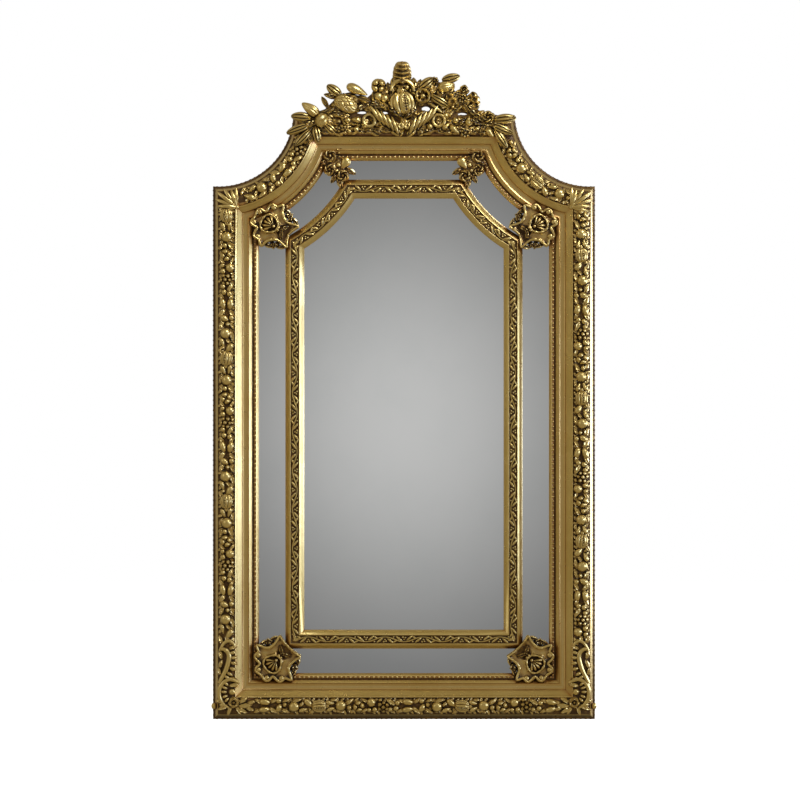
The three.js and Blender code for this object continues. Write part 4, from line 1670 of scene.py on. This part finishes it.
class Term:
    """One shader socket that takes part in plain arithmetic."""

    def __init__(self, bench: "Bench", socket: bpy.types.NodeSocket) -> None:
        """Wraps a socket.

        Args:
            bench: The node tree that it belongs to.
            socket: The output socket.
        """
        self.bench = bench
        self.socket = socket

    def _with(self, operation: str, one: "Term | float", two: "Term | float") -> "Term":
        """Joins two values by a maths node.

        Args:
            operation: Name of the operation.
            one: First value.
            two: Second value.

        Returns:
            The result.
        """
        node = self.bench.node("ShaderNodeMath", {"operation": operation}, {0: one, 1: two})
        return Term(self.bench, node.outputs[0])

    def __add__(self, other: "Term | float") -> "Term":
        """The sum with another value."""
        return self._with("ADD", self, other)

    __radd__ = __add__

    def __sub__(self, other: "Term | float") -> "Term":
        """This value less another."""
        return self._with("SUBTRACT", self, other)

    def __rsub__(self, other: "Term | float") -> "Term":
        """Another value less this one."""
        return self._with("SUBTRACT", other, self)

    def __mul__(self, other: "Term | float") -> "Term":
        """The product with another value."""
        return self._with("MULTIPLY", self, other)

    __rmul__ = __mul__

    def __truediv__(self, other: "Term | float") -> "Term":
        """This value over another."""
        return self._with("DIVIDE", self, other)

    def __rpow__(self, other: "Term | float") -> "Term":
        """Another value raised to this one."""
        return self._with("POWER", other, self)

    def smooth(self, low: float, high: float) -> "Term":
        """Maps a range smoothly to zero and one.

        Args:
            low: Value that becomes zero.
            high: Value that becomes one.

        Returns:
            The mapped value.
        """
        settings = {"interpolation_type": "SMOOTHSTEP"}
        inputs = {"Value": self, "From Min": low, "From Max": high}
        return Term(self.bench, self.bench.node("ShaderNodeMapRange", settings, inputs).outputs[0])


class Bench:
    """A node tree being filled."""

    def __init__(self, tree: bpy.types.NodeTree) -> None:
        """Empties the tree.

        Args:
            tree: The tree.
        """
        self.tree = tree
        tree.nodes.clear()

    def node(self, kind: str, settings: dict | None = None, inputs: dict | None = None) -> bpy.types.Node:
        """Adds one node.

        Args:
            kind: Type of the node.
            settings: Its properties.
            inputs: Values, sockets or terms for its inputs, by name or number.

        Returns:
            The node.
        """
        made = self.tree.nodes.new(kind)
        for name, value in (settings or {}).items():
            setattr(made, name, value)
        self.feed(made, inputs or {})
        return made

    def feed(self, node: bpy.types.Node, inputs: dict) -> None:
        """Sets or links inputs of a node.

        Args:
            node: The node.
            inputs: Values, sockets or terms for its inputs, by name or number.
        """
        for name, value in inputs.items():
            socket = node.inputs[name]
            if isinstance(value, Term):
                self.tree.links.new(value.socket, socket)
            elif isinstance(value, bpy.types.NodeSocket):
                self.tree.links.new(value, socket)
            else:
                socket.default_value = value

    def place(self) -> bpy.types.NodeSocket:
        """The object's own coordinates.

        Returns:
            The socket.
        """
        return self.node("ShaderNodeTexCoord").outputs["Object"]

    def noise(self, place: bpy.types.NodeSocket, scale: float, detail: float, rough: float = 0.55) -> Term:
        """Smooth noise.

        Args:
            place: Coordinates.
            scale: Features per metre.
            detail: Octaves.
            rough: Weight of the finer octaves.

        Returns:
            The noise, about one half.
        """
        inputs = {"Vector": place, "Scale": scale, "Detail": detail, "Roughness": rough}
        return Term(self, self.node("ShaderNodeTexNoise", None, inputs).outputs[0])

    def mix(self, factor: Term, one: object, two: object) -> bpy.types.NodeSocket:
        """Mixes two colours.

        Args:
            factor: Share of the second.
            one: First colour or socket.
            two: Second colour or socket.

        Returns:
            The mixed colour.
        """
        settings = {"data_type": "RGBA", "clamp_factor": True}
        return self.node("ShaderNodeMix", settings, {0: factor, 6: one, 7: two}).outputs[2]

    def bump(self, height: Term, strength: float, distance: float) -> bpy.types.NodeSocket:
        """Fine relief.

        Args:
            height: Height of the relief.
            strength: Strength of the effect.
            distance: Real height of one unit.

        Returns:
            The normal.
        """
        inputs = {"Height": height, "Strength": strength, "Distance": distance}
        return self.node("ShaderNodeBump", None, inputs).outputs[0]


def linear(red: int, green: int, blue: int) -> tuple[float, float, float, float]:
    """A screen colour as light.

    Args:
        red: Red, up to 255.
        green: Green, up to 255.
        blue: Blue, up to 255.

    Returns:
        Linear red, green, blue and alpha.
    """
    share = np.array([red, green, blue]) / 255
    light = np.where(share <= 0.04045, share / 12.92, ((share + 0.055) / 1.055) ** 2.4)
    return (*(float(part) for part in light), 1.0)


def blank_material(name: str) -> tuple[bpy.types.Material, Bench]:
    """Makes a material with an empty node tree.

    Args:
        name: Its name.

    Returns:
        The material, and the bench that fills its tree.
    """
    made = bpy.data.materials.new(name)
    made.use_nodes = True
    return made, Bench(made.node_tree)


class Finish:
    """A surface finish that makes its own material."""

    name: str

    def material(self) -> bpy.types.Material:
        """Makes the material.

        Returns:
            The material.
        """
        made, bench = blank_material(self.name)
        shader = bench.node("ShaderNodeBsdfPrincipled")
        self.dress(bench, shader)
        bench.node("ShaderNodeOutputMaterial", None, {"Surface": shader.outputs[0]})
        return made

    def dress(self, bench: Bench, shader: bpy.types.Node) -> None:
        """Links the finish to the shader.

        Args:
            bench: The node tree.
            shader: The principled shader.
        """
        raise NotImplementedError


@dataclass(frozen=True)
class Gilt(Finish):
    """Antique gold leaf: overlapping leaves of gold, rubbed in spots, with painted shade darkening the
    recesses, partly a real dark glazing.

    Attributes:
        name: Name of the material.
        glaze_and_shade: Strength of the painted shade in the recesses, partly a real dark glazing.
        roughness: Roughness of clean gold.
        reach: Distance over which a recess is judged.
        relief: Strength of the fine relief.
        varnish: Weight of the varnish over clean gold.
        varnish_index: Refractive index of the varnish.
        gold: Bright gold.
        deep: Deeper gold.
        shaded_ambering: Share of painted shade in yellow-brown that the sunk parts take, partly a real old
            varnish.
        shaded_amber: Yellow-brown of that painted shade, partly a real old varnish run into the sunk parts.
        shade_umber: Dark brown of the painted shade, partly a real dark glazing.
        bole: Red-brown clay that shows where the leaf is rubbed.
    """

    name: str
    glaze_and_shade: float = 1.0
    roughness: float = 0.3
    reach: float = 0.012
    relief: float = 0.12
    varnish: float = 1.0
    varnish_index: float = 1.9
    gold: tuple[int, int, int] = (224, 202, 124)
    deep: tuple[int, int, int] = (206, 180, 90)
    shaded_ambering: float = 0.4
    shaded_amber: tuple[int, int, int] = (184, 124, 22)
    shade_umber: tuple[int, int, int] = (50, 32, 10)
    bole: tuple[int, int, int] = (128, 74, 34)

    def dress(self, bench: Bench, shader: bpy.types.Node) -> None:
        """Gold leaf over bole, with painted shade in yellow-brown and dark brown where the occlusion finds
        the surface sunk, partly a real old varnish and glazing.

        Args:
            bench: The node tree.
            shader: The principled shader.
        """
        place = bench.place()
        drift = bench.noise(place, 5.0, 2.0)
        mottle = bench.noise(place, 55.0, 5.0, 0.6)
        grain = bench.noise(place, 520.0, 3.0, 0.6)
        leaf_inputs = {"Vector": place, "Scale": 13.0, "Randomness": 0.8}
        leaf = bench.node("ShaderNodeTexVoronoi", {"distance": "CHEBYCHEV"}, leaf_inputs)
        tone = Term(bench, leaf.outputs["Color"])
        # Painted shade: the occlusion darkens recesses and the gaps between parts to dark brown and dulls the
        # gold there, partly a real dark glazing.
        occlusion = bench.node("ShaderNodeAmbientOcclusion", {"samples": 8}, {"Distance": self.reach})
        openness = Term(bench, occlusion.outputs["AO"])
        recess = (1.0 - openness).smooth(0.12, 0.82)
        glaze_shade_mask = (recess * self.glaze_and_shade * (0.55 + 0.9 * mottle)).smooth(0.05, 0.95)
        warmth = drift * 0.55 + mottle * 0.3 + tone * 0.18
        clean = bench.mix(warmth.smooth(0.25, 0.8), linear(*self.gold), linear(*self.deep))
        rubbed = (grain * 0.5 + mottle * 0.8 + recess * 0.25).smooth(0.84, 1.05) * 0.6
        worn = bench.mix(rubbed, clean, linear(*self.bole))
        # Painted shade: sunk parts turn yellow-brown by occlusion, partly a real old varnish.
        sunk = (1.0 - openness).smooth(0.03, 0.4) * self.shaded_ambering
        aged = bench.mix(sunk, worn, linear(*self.shaded_amber))
        colour = bench.mix(glaze_shade_mask, aged, linear(*self.shade_umber))
        relief = mottle * 0.5 + grain * 0.25 + tone * 0.08
        bench.feed(shader, {
            "Base Color": colour,
            "Metallic": 1.0 - glaze_shade_mask * 0.7 - rubbed * 0.5,
            "Roughness": self.roughness + glaze_shade_mask * 0.3 + (mottle - 0.5) * 0.25 + rubbed * 0.15,
            "Coat Weight": self.varnish - glaze_shade_mask * self.varnish * 0.7,
            "Coat Roughness": 0.3,
            "Coat IOR": self.varnish_index,
            "Normal": bench.bump(relief, self.relief, GESSO_RELIEF),
        })


@dataclass(frozen=True)
class ShadedGround(Finish):
    """The ground behind the carving, painted dark for the shade that falls there, partly a real dark glazing,
    with a little gold showing through.

    Attributes:
        name: Name of the material.
        shade_umber: Dark brown of the painted shade, partly a real dark glazing.
        gold: Gold that shows through.
    """

    name: str = "shaded_ground"
    shade_umber: tuple[int, int, int] = (80, 56, 26)
    gold: tuple[int, int, int] = (150, 120, 66)

    def dress(self, bench: Bench, shader: bpy.types.Node) -> None:
        """Mottled painted shade, with gold showing through.

        Args:
            bench: The node tree.
            shader: The principled shader.
        """
        place = bench.place()
        mottle = bench.noise(place, 90.0, 5.0, 0.6)
        cloud = bench.noise(place, 9.0, 3.0)
        shown = (mottle * 0.7 + cloud * 0.4).smooth(0.5, 0.8)
        bench.feed(shader, {
            "Base Color": bench.mix(shown, linear(*self.shade_umber), linear(*self.gold)),
            "Metallic": 0.25 + shown * 0.6,
            "Roughness": 0.5 - shown * 0.12 + (mottle - 0.5) * 0.2,
            "Normal": bench.bump(mottle, 0.3, GESSO_RELIEF),
        })


@dataclass(frozen=True)
class BareWood(Finish):
    """The unfinished back of the frame: pale softwood with a long grain and a brown stain.

    Attributes:
        name: Name of the material.
        pale: Pale wood.
        stained: Stained wood.
    """

    name: str = "bare_wood"
    pale: tuple[int, int, int] = (176, 140, 96)
    stained: tuple[int, int, int] = (112, 78, 46)

    def dress(self, bench: Bench, shader: bpy.types.Node) -> None:
        """Stretched noise for the grain.

        Args:
            bench: The node tree.
            shader: The principled shader.
        """
        place = bench.place()
        mapping = bench.node("ShaderNodeMapping", None, {"Vector": place, "Scale": (6.0, 6.0, 0.4)})
        grain = bench.noise(mapping.outputs[0], 38.0, 5.0, 0.65)
        stain = bench.noise(place, 4.0, 3.0)
        streak = (grain * 0.7 + stain * 0.4).smooth(0.35, 0.85)
        bench.feed(shader, {
            "Base Color": bench.mix(streak, linear(*self.pale), linear(*self.stained)),
            "Roughness": 0.7 + (grain - 0.5) * 0.3,
            "Normal": bench.bump(grain, 0.3, 0.0005),
        })


@dataclass(frozen=True)
class SilveredGlass(Finish):
    """A silvered mirror plate with a faint film of dust.

    Attributes:
        name: Name of the material.
        silver: Clean silver.
        filmed: Silver under the film.
    """

    name: str = "silvered_glass"
    silver: tuple[int, int, int] = (246, 248, 247)
    filmed: tuple[int, int, int] = (236, 240, 239)

    def dress(self, bench: Bench, shader: bpy.types.Node) -> None:
        """A clean metal reflection, a little duller where the film lies.

        Args:
            bench: The node tree.
            shader: The principled shader.
        """
        place = bench.place()
        film = bench.noise(place, 3.0, 5.0, 0.6).smooth(0.35, 0.75)
        speck = bench.noise(place, 240.0, 2.0).smooth(0.72, 0.86)
        dulled = film * 0.5 + speck * 0.2
        bench.feed(shader, {
            "Base Color": bench.mix(dulled, linear(*self.silver), linear(*self.filmed)),
            "Metallic": 1.0,
            "Roughness": 0.008 + film * 0.012 + speck * 0.03,
        })


@dataclass(frozen=True)
class FibreBoard(Finish):
    """Brown fibre board.

    Attributes:
        name: Name of the material.
        pale: Pale fibre.
        dark: Dark fibre.
    """

    name: str = "fibre_board"
    pale: tuple[int, int, int] = (150, 112, 72)
    dark: tuple[int, int, int] = (104, 72, 42)

    def dress(self, bench: Bench, shader: bpy.types.Node) -> None:
        """Two sizes of fibre noise.

        Args:
            bench: The node tree.
            shader: The principled shader.
        """
        place = bench.place()
        cloud = bench.noise(place, 7.0, 4.0)
        fibre = bench.noise(place, 420.0, 4.0, 0.7)
        mottle = (cloud * 0.5 + fibre * 0.6).smooth(0.3, 0.8)
        bench.feed(shader, {
            "Base Color": bench.mix(mottle, linear(*self.pale), linear(*self.dark)),
            "Roughness": 0.82 + (fibre - 0.5) * 0.2,
            "Normal": bench.bump(fibre, 0.25, 0.0004),
        })


class Workshop:
    """Turns forms into pieces of the mirror, and dresses the plain plates."""

    def __init__(self) -> None:
        """Makes the finishes."""
        # The finishes differ in how much painted shade they put in their recesses and sunk parts.
        plain = Gilt("gilt_plain", glaze_and_shade=0.7, roughness=0.31, relief=0.08, reach=0.024, shaded_ambering=1.0)
        carved = Gilt("gilt_carved", glaze_and_shade=1.3, roughness=0.31, relief=0.05, reach=0.007)
        ornament = Gilt("gilt_ornament", glaze_and_shade=1.75, roughness=0.31, relief=0.05, reach=0.013, shaded_ambering=0.8)
        dull = [BareWood().material(), ShadedGround().material()]
        self.coats = [plain.material(), carved.material(), *dull]
        self.ornament_coats = [self.coats[0], ornament.material(), *dull]
        self.glass = SilveredGlass().material()
        self.board = FibreBoard().material()

    def piece(self, form: Form, node: str, slot: str, name: str = "") -> None:
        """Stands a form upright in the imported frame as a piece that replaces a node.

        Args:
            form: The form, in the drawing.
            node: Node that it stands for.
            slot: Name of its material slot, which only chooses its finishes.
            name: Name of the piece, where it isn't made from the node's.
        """
        across, up, out = form.verts.T
        verts = np.stack([across, -out, up - HANG_HEIGHT], axis=-1) * MM
        title = name or f"{node}_carved"
        mesh = bpy.data.meshes.new(title)
        count = len(form.tris)
        mesh.vertices.add(len(verts))
        mesh.vertices.foreach_set("co", verts.astype(np.float32).ravel())
        mesh.loops.add(3 * count)
        mesh.loops.foreach_set("vertex_index", form.tris.astype(np.int32).ravel())
        mesh.polygons.add(count)
        mesh.polygons.foreach_set("loop_start", np.arange(0, 3 * count, 3, dtype=np.int32))
        mesh.polygons.foreach_set("material_index", form.coats.astype(np.int32))
        mesh.polygons.foreach_set("use_smooth", np.ones(count, dtype=bool))
        for coat in self.ornament_coats if slot == ORNAMENT_SLOT else self.coats:
            mesh.materials.append(coat)
        mesh.update(calc_edges=True)
        mesh.validate()
        mesh.set_sharp_from_angle(angle=SHARP_ANGLE)
        made = bpy.data.objects.new(title, mesh)
        bpy.context.scene.collection.objects.link(made)
        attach(made, BODY)
        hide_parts(node)
        LOG.info("%s: %d triangles, %.1f to %.1f mm deep", title, count, out.min(), out.max())

    @staticmethod
    def dress(node: str, material: bpy.types.Material) -> None:
        """Gives a plain CAD node its finish.

        Args:
            node: The node.
            material: Its finish.
        """
        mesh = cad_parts[node].data
        mesh.materials.clear()
        mesh.materials.append(material)


@dataclass(frozen=True)
class SoftBox:
    """A soft area light.

    Attributes:
        name: Its name.
        place: Where it stands.
        aim: What it points at.
        size: Its width and height.
        power: Its power in watts.
        tint: Its colour.
        spread: Angle of its beam.
    """

    name: str
    place: tuple[float, float, float]
    aim: tuple[float, float, float]
    size: tuple[float, float]
    power: float
    tint: tuple[float, float, float] = (1.0, 1.0, 1.0)
    spread: float = math.pi

    def build(self) -> None:
        """Hangs the light in the scene, where the camera doesn't see it."""
        light = bpy.data.lights.new(self.name, "AREA")
        light.shape = "RECTANGLE"
        light.size, light.size_y = self.size
        light.energy = self.power
        light.color = self.tint
        light.spread = self.spread
        made = bpy.data.objects.new(self.name, light)
        made.location = self.place
        made.rotation_euler = (Vector(self.aim) - Vector(self.place)).to_track_quat("-Z", "Y").to_euler()
        made.visible_camera = False
        bpy.context.scene.collection.objects.link(made)


@dataclass
class Studio:
    """Pale floor, soft light from the right, and a camera square to the glass."""

    camera_x: float = -0.0104
    camera_z: float = -0.701
    camera_distance: float = 14.0
    picture_width: float = 2.0888
    sensor: float = 36.0
    floor_drop: float = 0.12
    floor_reach: float = 14.0
    floor_glow: float = 0.96
    card_distance: float = 3.0
    card_middle: float = -0.748
    card_half: tuple[float, float] = (0.5, 0.88)
    card_spread: tuple[float, float] = (0.43, 0.5)
    card_light: float = 0.46
    card_base: float = 0.09
    ambient: float = 0.365
    from_right: float = 0.04
    from_above: float = -0.02
    warm: tuple[float, float, float, float] = (0.97, 0.8, 0.515, 1.0)
    lights: tuple[SoftBox, ...] = (
        SoftBox("key", (2.7, -1.0, -0.8), (0.0, -0.1, -0.8), (2.6, 0.6), 23.5, (0.85, 1.0, 1.4)),
        SoftBox("fill", (-3.2, -2.4, 0.4), (0.0, 0.0, -0.7), (1.6, 2.2), 8.0),
        SoftBox("top", (0.0, -2.2, 2.6), (0.0, 0.0, -0.5), (2.4, 1.4), 3.0),
        SoftBox("crest", (1.4, -1.6, 1.35), (0.0, 0.0, 0.1), (1.3, 1.1), 4.2, spread=0.8),
        SoftBox("rim", (2.3, 1.7, -0.75), (0.2, 0.0, -0.75), (2.0, 1.2), 38.0),
    )
    stage: list[bpy.types.Object] = field(default_factory=list)

    def build(self, low: Sequence[float]) -> None:
        """Sets the scene.

        Args:
            low: Lowest corner of the mirror.
        """
        scene = bpy.context.scene
        scene.view_settings.view_transform = "Standard"
        self._world(scene)
        self._camera(scene)
        self._floor(low[2] - self.floor_drop)
        self._card()
        for light in self.lights:
            light.build()
        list(self.stage)

    def _world(self, scene: bpy.types.Scene) -> None:
        """A white surround for the eye and a dim warm one for reflections, darker behind and below.

        Args:
            scene: The scene.
        """
        scene.world = bpy.data.worlds.new("studio")
        scene.world.use_nodes = True
        bench = Bench(scene.world.node_tree)
        seen = bench.node("ShaderNodeBackground", None, {"Color": (1, 1, 1, 1), "Strength": 1.0})
        ray = bench.node("ShaderNodeTexCoord").outputs["Generated"]
        way = bench.node("ShaderNodeSeparateXYZ", None, {0: ray})
        right, up = Term(bench, way.outputs[0]), Term(bench, way.outputs[2])
        under = Term(bench, way.outputs[1]).smooth(-0.05, 0.5) * (0.0 - up).smooth(0.15, 0.7)
        glow = self.ambient * (1.0 + self.from_right * right + self.from_above * up) * (1.0 - 0.85 * under)
        around = bench.node("ShaderNodeBackground", None, {"Color": self.warm, "Strength": glow})
        path = bench.node("ShaderNodeLightPath").outputs["Is Camera Ray"]
        mixed = bench.node("ShaderNodeMixShader", None, {0: path, 1: around.outputs[0], 2: seen.outputs[0]})
        bench.node("ShaderNodeOutputWorld", None, {"Surface": mixed.outputs[0]})

    def _camera(self, scene: bpy.types.Scene) -> None:
        """A camera square to the glass, at the photograph's framing.

        Args:
            scene: The scene.
        """
        lens = bpy.data.cameras.new("camera")
        lens.sensor_width = self.sensor
        lens.lens = self.sensor * self.camera_distance / self.picture_width
        camera = bpy.data.objects.new("camera", lens)
        camera.location = (self.camera_x, -self.camera_distance - 0.03, self.camera_z)
        camera.rotation_euler = (math.pi / 2, 0.0, 0.0)
        scene.collection.objects.link(camera)
        scene.camera = camera

    def _plane(self, name: str, corners: Sequence[Sequence[float]]) -> bpy.types.Object:
        """A flat stage piece.

        Args:
            name: Its name.
            corners: Its four corners.

        Returns:
            The object.
        """
        mesh = bpy.data.meshes.new(name)
        mesh.from_pydata([tuple(corner) for corner in corners], [], [(0, 1, 2, 3)])
        made = bpy.data.objects.new(name, mesh)
        bpy.context.scene.collection.objects.link(made)
        self.stage.append(made)
        return made

    def _floor(self, height: float) -> None:
        """A plain pale floor.

        Args:
            height: Its height.
        """
        reach = self.floor_reach
        corners = ((-reach, -reach), (reach, -reach), (reach, reach), (-reach, reach))
        floor = self._plane("floor", [(*corner, height) for corner in corners])
        made, bench = blank_material("pale_floor")
        cloud = bench.noise(bench.place(), 2.0, 3.0)
        shade = bench.mix(cloud, (0.9, 0.9, 0.89, 1), (0.86, 0.86, 0.85, 1))
        shader = bench.node("ShaderNodeBsdfPrincipled", None, {
            "Base Color": shade,
            "Roughness": 0.8,
            "Emission Color": (1, 1, 0.99, 1),
            "Emission Strength": self.floor_glow,
        })
        bench.node("ShaderNodeOutputMaterial", None, {"Surface": shader.outputs[0]})
        floor.data.materials.append(made)
        floor.visible_glossy = False
        floor.visible_diffuse = False

    def _card(self) -> None:
        """The grey card behind the camera that the glass mirrors, brightest at its middle."""
        half, tall = self.card_half
        low, high = self.card_middle - tall, self.card_middle + tall
        corners = ((-half, low), (half, low), (half, high), (-half, high))
        card = self._plane("card", [(x, -self.card_distance, z) for x, z in corners])
        made, bench = blank_material("grey_card")
        place = bench.node("ShaderNodeSeparateXYZ", None, {0: bench.place()})
        across = Term(bench, place.outputs[0]) / self.card_spread[0]
        up = (Term(bench, place.outputs[2]) - self.card_middle) / self.card_spread[1]
        fall = (across * across + up * up) * -0.5
        glow = self.card_base + self.card_light * math.e**fall
        light = bench.node("ShaderNodeEmission", None, {"Color": (1.0, 0.985, 0.98, 1), "Strength": glow})
        bench.node("ShaderNodeOutputMaterial", None, {"Surface": light.outputs[0]})
        card.data.materials.append(made)
        card.visible_camera = False
        card.visible_shadow = False


def main() -> None:
    """Builds the mirror piece by piece and sets the scene."""
    logging.basicConfig(level=logging.INFO, format="%(name)s %(message)s")
    workshop = Workshop()
    coarse, fine = MotifLibrary(fine=1), MotifLibrary(fine=2)
    outer_frame = OuterFrame()
    workshop.piece(outer_frame.form(), "outer_frame", "gilt_frame")
    workshop.piece(outer_frame.garland(coarse), "outer_frame", "gilt_frame", "outer_frame_garland")
    workshop.piece(outer_frame.carving(coarse), "outer_frame", "gilt_frame", "outer_frame_leaves")
    workshop.piece(SlipFrame().form(coarse), "inner_frame", "gilt_slip")
    workshop.piece(Crest().form(fine), "crest", "gilt_crest")
    ornaments = {
        "cartouche_foot": Cartouche(
            middle=(-343, 146),
            axis=45,
            arm=(
                (0, 53), (15, 55), (26, 61), (31, 67), (34, 55), (40, 46),
                (49, 41), (60, 39), (70, 42), (78, 49), (86, 58),
            ),
        ),
        "cartouche_shoulder": Cartouche(
            middle=(-352, 1295),
            axis=-29,
            arm=(
                (0, 50), (12, 55), (21, 63), (25, 70), (28, 51), (34, 42),
                (44, 38.5), (58, 38), (69, 41), (76, 48), (82, 55),
            ),
        ),
        "flower_spray": FlowerSpray(),
    }
    for name, ornament in ornaments.items():
        left = ornament.form(fine)
        workshop.piece(left, f"{name}_left", ORNAMENT_SLOT)
        workshop.piece(left.mirrored(), f"{name}_right", ORNAMENT_SLOT)
    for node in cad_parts:
        if node.startswith("glass_"):
            workshop.dress(node, workshop.glass)
    workshop.dress("back_board", workshop.board)
    Studio().build(CAD_BOX[0])


if __name__ == "__main__":
    main()
